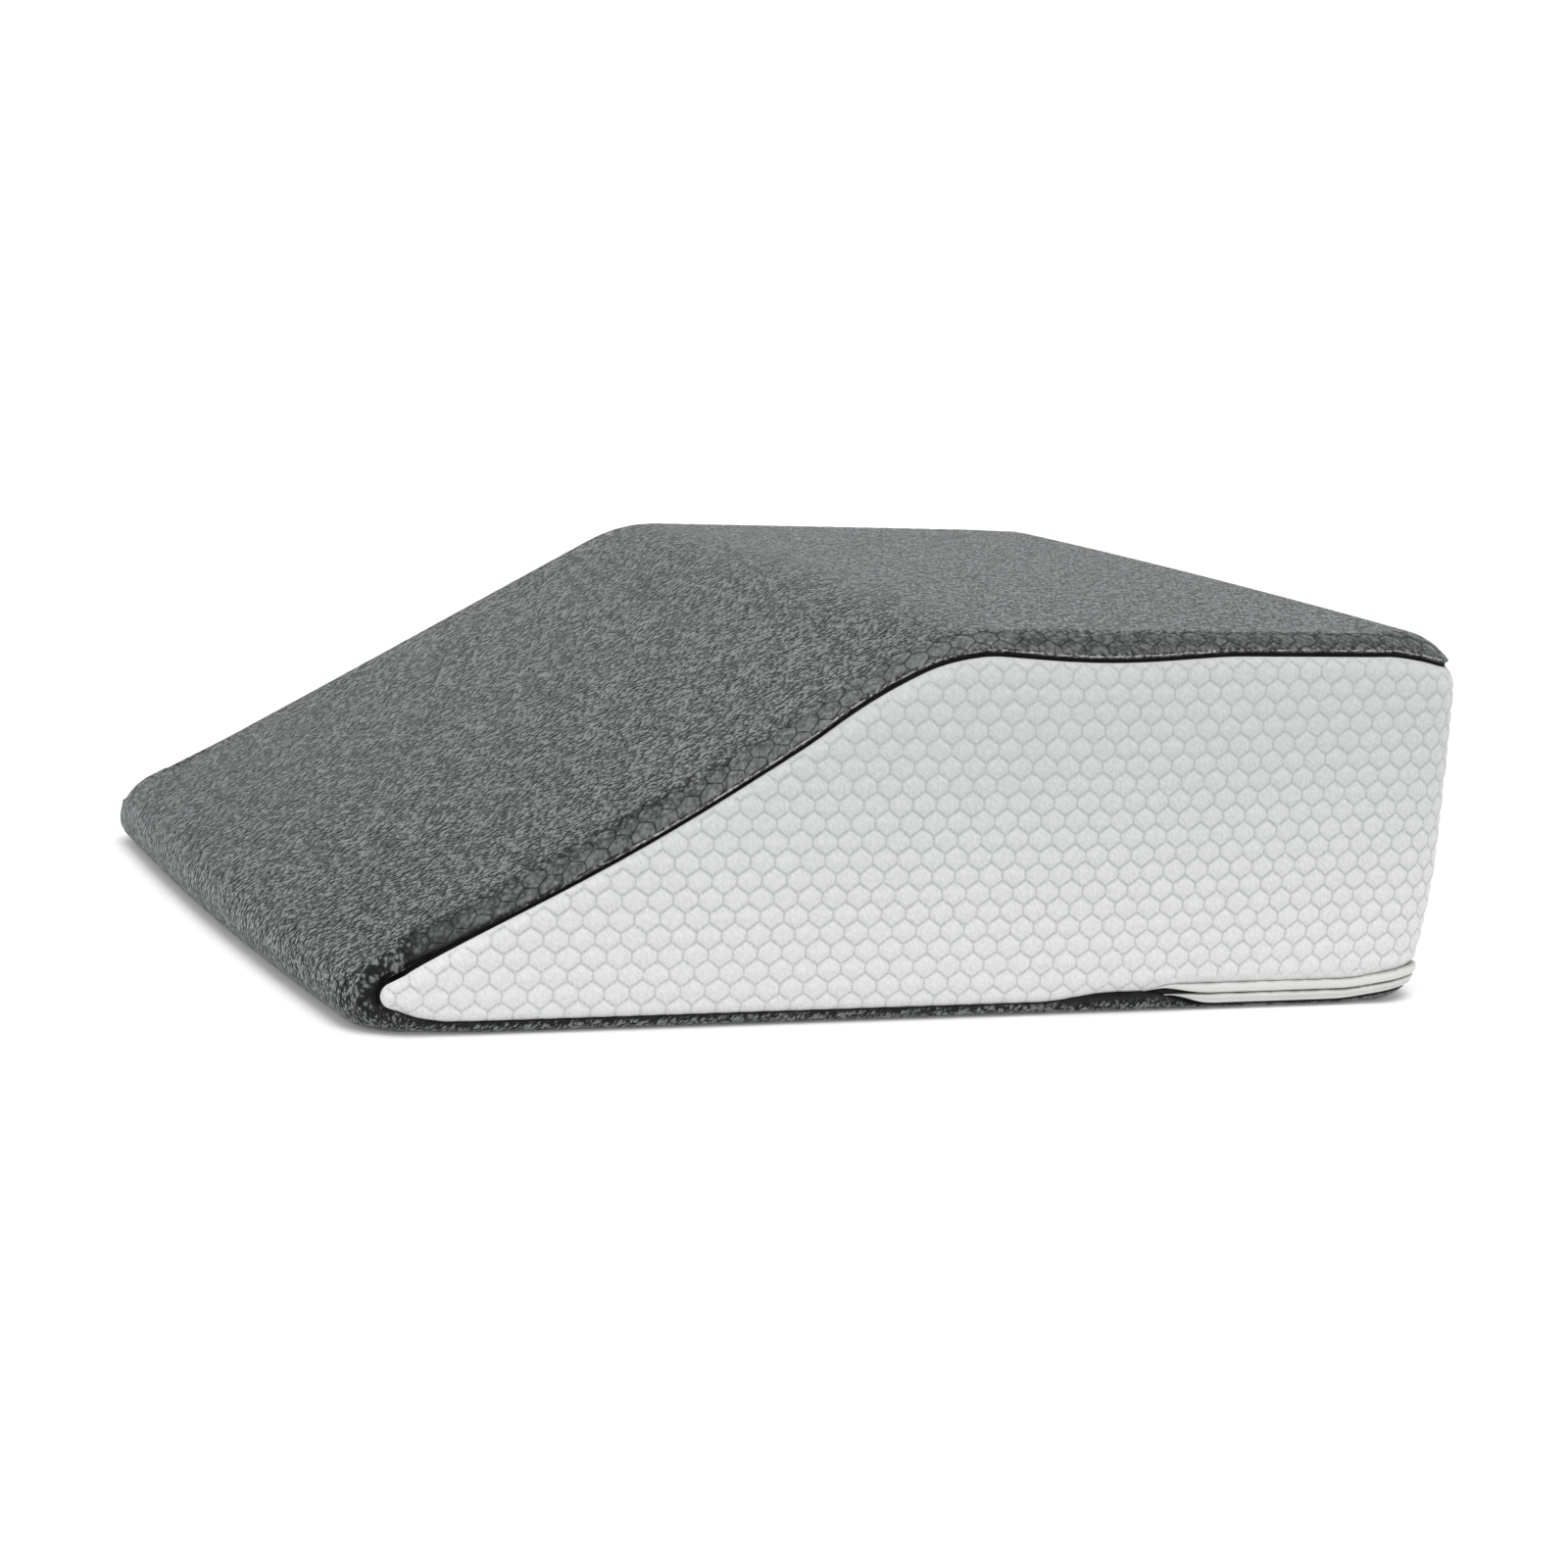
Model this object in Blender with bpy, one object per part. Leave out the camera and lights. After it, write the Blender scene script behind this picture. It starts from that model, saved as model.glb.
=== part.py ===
"""A wedge pillow for resting the legs: a grey cloth wedge with white quilted sides.

The pillow lies on its flat base. X runs from the thin nose to the tall back, Y runs across the
width, and Z is up. The origin is the middle of the footprint, on the floor. Lengths are in metres.

The grey wedge is one filled solid. It is recessed round its two sides and its back, and the white
quilted boxing lies in that recess in two lengths, joined by a seam at the middle of the back. Two
plain folded strips cover the zip opening, low on the back and on the last part of each side.
"""

import math

import bmesh
import bpy
from mathutils import Vector
from mathutils.geometry import delaunay_2d_cdt

# Main sizes of the wedge
LENGTH = 0.610
WIDTH = 0.533
TOP_HEIGHT = 0.196
RAMP_ANGLE = math.radians(28.8)
RIDGE_X = 0.004
RIDGE_RADIUS = 0.090
NOSE_RADIUS = 0.0184
NOSE_CORNER_RADIUS = 0.030
BACK_CORNER_RADIUS = 0.034
CENTRE_SHIFT = 0.0027

# Rounding where the top and the base turn down or up into the sides and the back
EDGE_ROLL_IN = 0.024
EDGE_ROLL_DOWN = 0.017
BACK_ROLL_IN = 0.036
BACK_ROLL_DOWN = 0.030
BASE_ROLL = 0.008
BASE_ROLL_BACK_CORNER = 0.014
NOSE_BLEND_LENGTH = 0.050

# How the soft wedge settles away from flat faces
NOSE_BOW = 0.008
NOSE_BOW_REACH = 0.160
TOP_CROWN = 0.0040
CROWN_SHARE_AT_ENDS = 0.4
SIDE_BULGE = 0.0030
BACK_BULGE = 0.0030
BACK_BULGE_FULL_AT = 0.6
BACK_PULL_IN = 0.0160
BACK_PULL_IN_HEIGHT = 0.045
BACK_REACH = 0.200

# White boxing
BOXING_THICKNESS = 0.0028
SEAM_DROP = 0.0107
SEAM_DROP_BACK = 0.0150
LOW_SEAM_HEIGHT = 0.0070
LOW_SEAM_RISE_AT_TIP = 0.0070
LOW_SEAM_RISE_LENGTH = 0.032
TIP_S = -0.2850
TIP_HEIGHT = 0.0200
TIP_RADIUS = 0.0062
RIM_DRAW_IN = 0.0012
RIM_WIDTH = 0.0060
TUCK_RISE = 0.0042
TUCK_START = 0.057
TUCK_END = 0.100
FIT_GAP = 0.0005
BACKING_GAP = 0.0006

# The cutter for the recess reaches this far out of the wedge and past the middle of the back
CUTTER_OUTSIDE = 0.010
CUTTER_OVERRUN = 0.002

# Waves of the top seam along the side: (middle, half length, how far the seam drops there)
SEAM_WAVES = (
    (-0.160, 0.115, 0.0038),
    (-0.035, 0.048, -0.0024),
    (0.085, 0.080, 0.0034),
    (0.294, 0.045, 0.0045),
)

# Hexagon quilting of the boxing: across is flat to flat, rows are centre to centre
HEX_ACROSS = 0.0131
HEX_ROW = 0.0092
HEX_SIDE = 0.0048
HEX_PUFF = 0.0009
HEX_ORIGIN_S = 0.0020
HEX_ORIGIN_Z = 0.0950
HEX_MARGIN = 0.0025

# Zip opening: two folded strips, one above the other
ZIP_START_X = 0.114
ZIP_TOP = 0.0146
ZIP_PARTING = 0.0091
ZIP_BOTTOM = 0.0028
ZIP_CORNER_RISE = 0.0045
ZIP_LEAD_IN = 0.030
ZIP_OPENING_LENGTH = 0.022
UPPER_STRIP_START = ZIP_START_X + 0.004
LOWER_STRIP_START = ZIP_START_X + 0.018
LEAST_STRIP_HEIGHT = 0.0016
STRIP_START_SHARE = 0.5
STRIP_START_DEPTH = 0.35

# Outer sides of the strips' sections, from low to high: (offset from the wall, share of height)
UPPER_STRIP_SIDE = ((-0.0006, 0.0), (0.0009, 0.28), (0.0009, 0.70), (-0.0006, 1.0))
LOWER_STRIP_SIDE = ((-0.0016, 0.0), (0.0008, 0.22), (0.0003, 0.50), (0.0008, 0.76),
                    (-0.0006, 1.0))

# Mesh steps
NOSE_STEPS = 6
NOSE_ARC_STEPS = 4
BACK_ARC_STEPS = 6
BACK_STEPS = 5
ROLL_STEPS = 4
BASE_ROLL_STEPS = 3
WALL_STEPS = 3
BOXING_STEP = 0.0150
STRIP_STEP = 0.024
BACKING_STEP = 0.042
BACKING_MARGIN = 0.0035
TIP_ANGLES = (117, 150, 183, 216, 249)

HALF_LENGTH = LENGTH / 2
HALF_WIDTH = WIDTH / 2
BACK_ARC_S = HALF_LENGTH - BACK_CORNER_RADIUS
NOSE_ARC_S = -HALF_LENGTH + NOSE_CORNER_RADIUS
BACK_FLAT_S = BACK_ARC_S + BACK_CORNER_RADIUS * math.pi / 2
CENTRE_BACK_S = BACK_FLAT_S + HALF_WIDTH - BACK_CORNER_RADIUS
NOSE_FLAT_S = NOSE_ARC_S - NOSE_CORNER_RADIUS * math.pi / 2
CENTRE_NOSE_S = NOSE_FLAT_S - (HALF_WIDTH - NOSE_CORNER_RADIUS)

# X stations of the top surface between the two corner arcs, closer together round the ridge
SIDE_STATIONS = (-0.240, -0.195, -0.145, -0.095, -0.055, -0.030, -0.014, 0.000, 0.014, 0.032,
                 0.090, 0.155, 0.215)

GREY = (0.115, 0.120, 0.122)
WHITE = (0.78, 0.80, 0.80)
STRIP_WHITE = (0.80, 0.80, 0.76)


def smooth(value, low, high):
    """Goes from 0 at low to 1 at high with level ends."""
    t = min(1.0, max(0.0, (value - low) / (high - low)))
    return t * t * (3 - 2 * t)


def bump(value, centre, half_width):
    """A smooth hump of height 1 at centre that ends half_width away."""
    t = min(1.0, abs(value - centre) / half_width)
    return (1 - t * t) ** 2


def outline(s):
    """Point and outward direction on the footprint's edge.

    s is the distance along the edge of the near half (Y below 0). On the straight side it is the
    same as X. It falls to CENTRE_NOSE_S at the middle of the nose and rises to CENTRE_BACK_S at
    the middle of the back.
    """
    if s < NOSE_FLAT_S:
        return (-HALF_LENGTH, -HALF_WIDTH + NOSE_CORNER_RADIUS + NOSE_FLAT_S - s), (-1.0, 0.0)
    if s < NOSE_ARC_S:
        turn = (NOSE_ARC_S - s) / NOSE_CORNER_RADIUS
        normal = (-math.sin(turn), -math.cos(turn))
        return (NOSE_ARC_S + normal[0] * NOSE_CORNER_RADIUS,
                -HALF_WIDTH + NOSE_CORNER_RADIUS * (1 + normal[1])), normal
    if s <= BACK_ARC_S:
        return (s, -HALF_WIDTH), (0.0, -1.0)
    if s <= BACK_FLAT_S:
        turn = (s - BACK_ARC_S) / BACK_CORNER_RADIUS
        normal = (math.sin(turn), -math.cos(turn))
        return (BACK_ARC_S + normal[0] * BACK_CORNER_RADIUS,
                -HALF_WIDTH + BACK_CORNER_RADIUS * (1 + normal[1])), normal
    return (HALF_LENGTH, -HALF_WIDTH + BACK_CORNER_RADIUS + s - BACK_FLAT_S), (1.0, 0.0)


def top_height(x):
    """Height of the unrounded top: the ramp, the ridge's arc, and the level part behind it."""
    tangent = RIDGE_RADIUS * math.tan(RAMP_ANGLE / 2)
    arc_end = RIDGE_X + tangent
    arc_start = RIDGE_X - tangent * math.cos(RAMP_ANGLE)
    if x >= arc_end:
        return TOP_HEIGHT
    if x <= arc_start:
        return TOP_HEIGHT - (RIDGE_X - x) * math.tan(RAMP_ANGLE)
    return TOP_HEIGHT - RIDGE_RADIUS + math.sqrt(RIDGE_RADIUS**2 - (arc_end - x) ** 2)


def ramp_slope(x):
    """Slope of the unrounded top along X."""
    step = 1e-5
    return (top_height(x + step) - top_height(x - step)) / (2 * step)


def edge_shape(s):
    """Rounding of the edge at s: (in, down, base radius, height it starts, base height, last angle).

    The rounding is a quarter ellipse. It stops early, at the last angle, where the ramp that it
    runs into is already sloping.
    """
    point, normal = outline(s)
    nose = 1 - smooth(s, NOSE_ARC_S - NOSE_CORNER_RADIUS, NOSE_ARC_S + NOSE_BLEND_LENGTH)
    back = smooth(s, BACK_ARC_S - BACK_CORNER_RADIUS, (BACK_ARC_S + BACK_FLAT_S) / 2)
    corner = bump(s, (BACK_ARC_S + BACK_FLAT_S) / 2, BACK_CORNER_RADIUS * 1.8)
    roll_in = EDGE_ROLL_IN + (NOSE_RADIUS - EDGE_ROLL_IN) * nose
    roll_in += (BACK_ROLL_IN - EDGE_ROLL_IN) * back
    roll_down = EDGE_ROLL_DOWN + (NOSE_RADIUS - EDGE_ROLL_DOWN) * nose
    roll_down += (BACK_ROLL_DOWN - EDGE_ROLL_DOWN) * back
    base_roll = BASE_ROLL + (BASE_ROLL_BACK_CORNER - BASE_ROLL) * corner
    base_roll += (NOSE_RADIUS - base_roll) * nose
    inward_slope = max(0.0, -normal[0] * ramp_slope(point[0] - normal[0] * roll_in / 2))
    last_angle = math.atan2(roll_down, roll_in * inward_slope)
    last_inset = roll_in * (1 - math.cos(last_angle))
    last_height = top_height(point[0] - normal[0] * last_inset)
    start_height = last_height - roll_down * math.sin(last_angle)
    return roll_in, roll_down, base_roll, start_height, min(base_roll, start_height), last_angle


def section(s):
    """Edge section at s, from the base up to the top: a list of (inset, height)."""
    roll_in, roll_down, base_roll, start_height, low_height, last_angle = edge_shape(s)
    rows = []
    for i in range(BASE_ROLL_STEPS):
        angle = math.pi / 2 * i / BASE_ROLL_STEPS
        rows.append((base_roll * (1 - math.sin(angle)), low_height * (1 - math.cos(angle))))
    for i in range(WALL_STEPS + 1):
        share = i / WALL_STEPS
        rows.append((0.0, low_height + (start_height - low_height) * share))
    for i in range(1, ROLL_STEPS + 1):
        angle = last_angle * i / ROLL_STEPS
        rows.append((roll_in * (1 - math.cos(angle)), start_height + roll_down * math.sin(angle)))
    return rows


def surface_inset(s, z):
    """How far in from the footprint's edge the wall is at s and height z."""
    roll_in, roll_down, base_roll, start_height, low_height, _ = edge_shape(s)
    if z > start_height:
        rise = min(1.0, (z - start_height) / roll_down)
        return roll_in * (1 - math.sqrt(1 - rise**2))
    if z < low_height:
        fall = min(1.0, (low_height - z) / low_height)
        return base_roll * (1 - math.sqrt(1 - fall**2))
    return 0.0


def settle(x, y, z):
    """Moves a point of the plain wedge to where it lies in the soft, filled one."""
    across = min(1.0, abs(y) / HALF_WIDTH)
    upright = min(1.0, z / TOP_HEIGHT)
    flat_share = max(0.0, 1 - (x / HALF_LENGTH) ** 2)
    nose = 1 - smooth(x, -HALF_LENGTH, -HALF_LENGTH + NOSE_BOW_REACH)
    back = smooth(x, HALF_LENGTH - BACK_REACH, HALF_LENGTH)
    local_top = max(top_height(x), 2 * NOSE_RADIUS)
    height_share = min(1.0, z / local_top)
    mid_height = 4 * height_share * (1 - height_share)
    new_x = x + CENTRE_SHIFT - NOSE_BOW * nose * (1 - across**2)
    full = smooth(upright, 0.0, BACK_BULGE_FULL_AT) * (1 - upright**4)
    new_x += BACK_BULGE * back * (1 - across**2) * full
    new_x -= BACK_PULL_IN * back * math.exp(-z / BACK_PULL_IN_HEIGHT)
    side = SIDE_BULGE * across**4 * mid_height * flat_share
    new_y = y + math.copysign(side, y)
    lengthwise = CROWN_SHARE_AT_ENDS + (1 - CROWN_SHARE_AT_ENDS) * flat_share
    crown = TOP_CROWN * (1 - across**2) * lengthwise * height_share**2
    return Vector((new_x, new_y, z + crown))


def wall_point(s, z, offset, far_side=False):
    """Settled point on or near the wall: offset is out from its surface, z is its height."""
    point, normal = outline(s)
    out = offset - surface_inset(s, z)
    x = point[0] + normal[0] * out
    y = point[1] + normal[1] * out
    return settle(x, -y if far_side else y, z)


def new_object(name, mesh, material):
    """Closes off a bmesh with its faces pointing out and links it as a node of its own."""
    bmesh.ops.recalc_face_normals(mesh, faces=mesh.faces)
    built = bpy.data.meshes.new(name)
    mesh.to_mesh(built)
    mesh.free()
    built.materials.append(material)
    node = bpy.data.objects.new(name, built)
    bpy.context.scene.collection.objects.link(node)
    return node


def cloth(name, color, roughness):
    """A plain cloth finish."""
    material = bpy.data.materials.new(name)
    material.use_nodes = True
    shader = material.node_tree.nodes["Principled BSDF"]
    shader.inputs["Base Color"].default_value = (*color, 1.0)
    shader.inputs["Roughness"].default_value = roughness
    shader.inputs["Metallic"].default_value = 0.0
    return material


def edge_stations():
    """The values of s at which the near half of the wedge has a section, nose to back."""
    nose_run = NOSE_FLAT_S - CENTRE_NOSE_S
    nose_arc = NOSE_ARC_S - NOSE_FLAT_S
    back_arc = BACK_FLAT_S - BACK_ARC_S
    back_run = CENTRE_BACK_S - BACK_FLAT_S
    stations = [CENTRE_NOSE_S + nose_run * i / NOSE_STEPS for i in range(NOSE_STEPS)]
    stations += [NOSE_FLAT_S + nose_arc * i / NOSE_ARC_STEPS for i in range(NOSE_ARC_STEPS + 1)]
    stations += list(SIDE_STATIONS)
    stations += [BACK_ARC_S + back_arc * i / BACK_ARC_STEPS for i in range(BACK_ARC_STEPS + 1)]
    stations += [BACK_FLAT_S + back_run * i / BACK_STEPS for i in range(1, BACK_STEPS + 1)]
    return stations


def edge_columns():
    """All sections round the wedge as columns of unsettled points, starting at the nose's middle.

    The near half comes first, then the far half, which is its mirror image.
    """
    near = []
    for s in edge_stations():
        point, normal = outline(s)
        near.append([(point[0] - normal[0] * inset, point[1] - normal[1] * inset, height)
                     for inset, height in section(s)])
    far = [[(x, -y, z) for x, y, z in column] for column in reversed(near[1:-1])]
    return near + far


def top_grid_point(sides, u, v):
    """Coons patch: blends the four edges of the top, each a function of a share from 0 to 1."""
    nose, back, near, far = sides
    along = [(1 - u) * n + u * b for n, b in zip(nose(v), back(v))]
    across = [(1 - v) * n + v * f for n, f in zip(near(u), far(u))]
    corners = [(1 - u) * (1 - v) * a + u * (1 - v) * b + (1 - u) * v * c + u * v * d
               for a, b, c, d in zip(near(0), near(1), far(0), far(1))]
    return [a + b - c for a, b, c in zip(along, across, corners)]


def build_wedge_mesh():
    """The filled wedge before its sides are recessed, as one closed bmesh."""
    columns = edge_columns()
    count = len(columns)
    mesh = bmesh.new()
    rings = [[mesh.verts.new(settle(*point)) for point in column] for column in columns]
    for i, ring in enumerate(rings):
        following = rings[(i + 1) % count]
        for j in range(len(ring) - 1):
            mesh.faces.new((ring[j], following[j], following[j + 1], ring[j + 1]))
    mesh.faces.new([ring[0] for ring in reversed(rings)])

    # The top is a grid whose corners are the middles of the four corner arcs
    half_nose = NOSE_STEPS + NOSE_ARC_STEPS // 2
    along = NOSE_ARC_STEPS // 2 + len(SIDE_STATIONS) + 1 + BACK_ARC_STEPS // 2
    top = [ring[-1] for ring in rings]
    flat = [column[-1] for column in columns]
    near_edge = [half_nose + i for i in range(along + 1)]
    back_edge = [near_edge[-1] + i for i in range(2 * half_nose + 1)]
    far_edge = [(count - i) % count for i in near_edge]
    nose_edge = [(half_nose - i) % count for i in range(2 * half_nose + 1)]

    def share_of(edge):
        return lambda share: flat[edge[round(share * (len(edge) - 1))]]

    sides = (share_of(nose_edge), share_of(back_edge), share_of(near_edge), share_of(far_edge))
    grid = []
    for i in range(along + 1):
        row = []
        for j in range(2 * half_nose + 1):
            if i in (0, along):
                row.append(top[(nose_edge if i == 0 else back_edge)[j]])
            elif j in (0, 2 * half_nose):
                row.append(top[(near_edge if j == 0 else far_edge)[i]])
            else:
                x, y, _ = top_grid_point(sides, i / along, j / (2 * half_nose))
                row.append(mesh.verts.new(settle(x, y, top_height(x))))
        grid.append(row)
    for i in range(along):
        for j in range(2 * half_nose):
            mesh.faces.new((grid[i][j], grid[i + 1][j], grid[i + 1][j + 1], grid[i][j + 1]))
    return mesh


def edge_top(s):
    """Height of the unrounded top at the footprint's edge."""
    return top_height(outline(s)[0][0])


def top_seam(s):
    """Height of the seam between the grey top and the boxing."""
    back = smooth(s, BACK_ARC_S, BACK_FLAT_S)
    drop = SEAM_DROP + (SEAM_DROP_BACK - SEAM_DROP) * back
    for middle, half_length, extra in SEAM_WAVES:
        drop += extra * bump(s, middle, half_length)
    return edge_top(s) - drop


def zip_rise(s):
    """How far the zip opening is pulled up round the back corner."""
    return ZIP_CORNER_RISE * bump(s, (BACK_ARC_S + BACK_FLAT_S) / 2, BACK_CORNER_RADIUS * 1.6)


def low_seam(s):
    """Height of the boxing's lower edge: the base seam, then the top of the zip opening."""
    tuck = TUCK_RISE * smooth(s, TUCK_START, TUCK_END)
    opening = ZIP_TOP - LOW_SEAM_HEIGHT - TUCK_RISE
    opening *= smooth(s, ZIP_START_X, ZIP_START_X + ZIP_OPENING_LENGTH)
    tip = max(0.0, (TIP_S + LOW_SEAM_RISE_LENGTH - s) / LOW_SEAM_RISE_LENGTH)
    return LOW_SEAM_HEIGHT + tuck + opening + zip_rise(s) + LOW_SEAM_RISE_AT_TIP * tip**2


def spread(start, end, step):
    """Evenly spaced values from start up to, but without, end."""
    count = max(1, round((end - start) / step))
    return [start + (end - start) * i / count for i in range(count)]


def column_values(start, step=BOXING_STEP):
    """Values of s from start to the middle of the back, on the wedge's own facets at the corner."""
    arc = (BACK_FLAT_S - BACK_ARC_S) / BACK_ARC_STEPS
    values = spread(start, BACK_ARC_S, step)
    values += spread(BACK_ARC_S, BACK_FLAT_S, arc)
    values += spread(BACK_FLAT_S, CENTRE_BACK_S, step)
    return values


def boxing_outline(grow=0.0, low_edge=low_seam):
    """Flat pattern of the boxing's near half in (s, height), grown outwards by grow."""
    points = [(s, low_edge(s) - grow) for s in column_values(TIP_S + TIP_RADIUS)]
    end_low = low_edge(CENTRE_BACK_S) - grow
    end_high = top_seam(CENTRE_BACK_S) + grow
    points += [(CENTRE_BACK_S, z) for z in spread(end_low, end_high, BOXING_STEP)]
    points.append((CENTRE_BACK_S, end_high))
    points += [(s, top_seam(s) + grow) for s in reversed(column_values(TIP_S + TIP_RADIUS))]
    # The rounded tip joins the two seams
    for angle in TIP_ANGLES:
        turn = math.radians(angle)
        reach = TIP_RADIUS + grow
        points.append((TIP_S + reach * math.cos(turn), TIP_HEIGHT + reach * math.sin(turn)))
    return points


def backing_points(points):
    """Points that carry the unquilted inner surface inside the outline, the same for both sides."""
    columns = spread(TIP_S, BACK_ARC_S, BACKING_STEP)
    columns += [s for s in column_values(TIP_S) if BACK_ARC_S <= s <= BACK_FLAT_S]
    columns += spread(BACK_FLAT_S, CENTRE_BACK_S, BACKING_STEP)[1:]
    rows = []
    for s in columns:
        _, _, _, start_height, low_height, _ = edge_shape(s)
        heights = spread(low_height, start_height, BACKING_STEP) + [start_height]
        rows += [(s, z) for z in heights]
    return [p for p in rows if inside(points, *p) and distance_to(points, *p) > BACKING_MARGIN]


def distance_to(points, s, z):
    """Distance from (s, z) to the closed outline through points."""
    nearest = 1.0
    for i, (s0, z0) in enumerate(points):
        s1, z1 = points[(i + 1) % len(points)]
        run = (s1 - s0) ** 2 + (z1 - z0) ** 2
        t = min(1.0, max(0.0, ((s - s0) * (s1 - s0) + (z - z0) * (z1 - z0)) / run))
        nearest = min(nearest, math.hypot(s - s0 - t * (s1 - s0), z - z0 - t * (z1 - z0)))
    return nearest


def inside(points, s, z):
    """True if (s, z) lies inside the closed outline through points."""
    crossings = 0
    for i, (s0, z0) in enumerate(points):
        s1, z1 = points[(i + 1) % len(points)]
        if (z0 > z) != (z1 > z) and s < s0 + (z - z0) * (s1 - s0) / (z1 - z0):
            crossings += 1
    return crossings % 2 == 1


def hexagon_lattice(points):
    """Quilting inside the outline: (list of (s, height, puff), list of stitched edges)."""
    point_rise = HEX_ROW - HEX_SIDE
    verts = []
    index_of = {}
    edges = []

    def add(s, z, puff):
        if not inside(points, s, z) or distance_to(points, s, z) < HEX_MARGIN:
            return None
        key = (round(s * 1e5), round(z * 1e5))
        if key not in index_of:
            index_of[key] = len(verts)
            verts.append((s, z, puff))
        return index_of[key]

    lowest, highest = min(p[1] for p in points), max(p[1] for p in points)
    rows = range(math.floor((lowest - HEX_ORIGIN_Z) / HEX_ROW) - 1,
                 math.ceil((highest - HEX_ORIGIN_Z) / HEX_ROW) + 2)
    first = math.floor((TIP_S - HEX_ORIGIN_S) / HEX_ACROSS) - 1
    last = math.ceil((CENTRE_BACK_S - HEX_ORIGIN_S) / HEX_ACROSS) + 1
    for row in rows:
        for column in range(first, last):
            s = HEX_ORIGIN_S + (column + 0.5 * (row % 2)) * HEX_ACROSS
            z = HEX_ORIGIN_Z + row * HEX_ROW
            add(s, z, 1.0)
            side_top = z + HEX_SIDE / 2
            left_low = add(s - HEX_ACROSS / 2, z - HEX_SIDE / 2, 0.0)
            left_high = add(s - HEX_ACROSS / 2, side_top, 0.0)
            peak = add(s, side_top + point_rise, 0.0)
            right_high = add(s + HEX_ACROSS / 2, side_top, 0.0)
            edges += [(left_low, left_high), (left_high, peak), (peak, right_high)]
    edges = [(a, b) for a, b in edges if a is not None and b is not None]
    return verts, edges


def triangulate(outline_points, inner_points, inner_edges):
    """Triangles of a flat pattern: (points, triangles, new index of each outline point)."""
    count = len(outline_points)
    coords = [Vector(p[:2]) for p in outline_points] + [Vector(p[:2]) for p in inner_points]
    edges = [(i, (i + 1) % count) for i in range(count)]
    edges += [(a + count, b + count) for a, b in inner_edges]
    verts, _, faces, origins, _, _ = delaunay_2d_cdt(
        coords, edges, [list(range(count))], 1, 1e-7)
    place = {}
    for new, old in enumerate(origins):
        for index in old:
            place[index] = new
    return verts, faces, place


def build_boxing(name, far_side, material):
    """One length of the quilted boxing, from the tip near the nose to the middle of the back."""
    points = boxing_outline()
    count = len(points)
    quilting, stitched = hexagon_lattice(points)
    verts, faces, place = triangulate(points, quilting, stitched)
    puff_of = {place[count + i]: puff for i, (_, _, puff) in enumerate(quilting)}
    end_s = CENTRE_BACK_S - FIT_GAP / 2
    mesh = bmesh.new()

    def shell_point(s, z, offset):
        return mesh.verts.new(wall_point(min(s, end_s), z, offset, far_side))

    outer = []
    for i, (s, z) in enumerate(verts):
        rim = 1 - smooth(distance_to(points, s, z), 0.0, RIM_WIDTH)
        outer.append(shell_point(s, z, HEX_PUFF * puff_of.get(i, 0.0) - RIM_DRAW_IN * rim))
    for face in faces:
        mesh.faces.new([outer[i] for i in face])

    in_verts, in_faces, in_place = triangulate(points, backing_points(points), [])
    inner = [shell_point(s, z, -BOXING_THICKNESS) for s, z in in_verts]
    for face in in_faces:
        mesh.faces.new([inner[i] for i in reversed(face)])

    for i in range(count):
        j = (i + 1) % count
        mesh.faces.new((outer[place[j]], outer[place[i]], inner[in_place[i]], inner[in_place[j]]))
    return new_object(name, mesh, material)


def recess_low_edge(s):
    """Lower edge of the recess: the base seam, then the bottom of the zip opening."""
    opening = smooth(s, ZIP_START_X, ZIP_START_X + ZIP_LEAD_IN)
    seam = low_seam(min(s, ZIP_START_X))
    return seam + (ZIP_BOTTOM + zip_rise(s) - seam) * opening


def build_recess(name, far_side, material):
    """Cutter for the recess that one length of boxing and of the zip strips lies in."""
    points = boxing_outline(FIT_GAP, recess_low_edge)
    count = len(points)
    verts, faces, place = triangulate(points, backing_points(points), [])
    mesh = bmesh.new()

    def shell_point(s, z, offset):
        past = CUTTER_OVERRUN if s >= CENTRE_BACK_S - 1e-6 else 0.0
        return mesh.verts.new(wall_point(s + past, z, offset, far_side))

    shells = []
    for offset in (-BOXING_THICKNESS - BACKING_GAP, CUTTER_OUTSIDE):
        shell = [shell_point(s, z, offset) for s, z in verts]
        for face in faces:
            mesh.faces.new([shell[i] for i in face])
        shells.append(shell)
    for i in range(count):
        a, b = place[i], place[(i + 1) % count]
        mesh.faces.new((shells[0][a], shells[0][b], shells[1][b], shells[1][a]))
    cutter = new_object(name, mesh, material)
    cutter.hide_render = True
    cutter.display_type = "WIRE"
    return cutter


def build_wedge(material):
    """The filled grey wedge with the recess for the boxing cut into its sides and back."""
    wedge = new_object("cushion", build_wedge_mesh(), material)
    for name, far_side in (("recess_near", False), ("recess_far", True)):
        cut = wedge.modifiers.new(name, "BOOLEAN")
        cut.operation = "DIFFERENCE"
        cut.solver = "EXACT"
        cut.object = build_recess(name, far_side, material)
    return wedge


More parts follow.
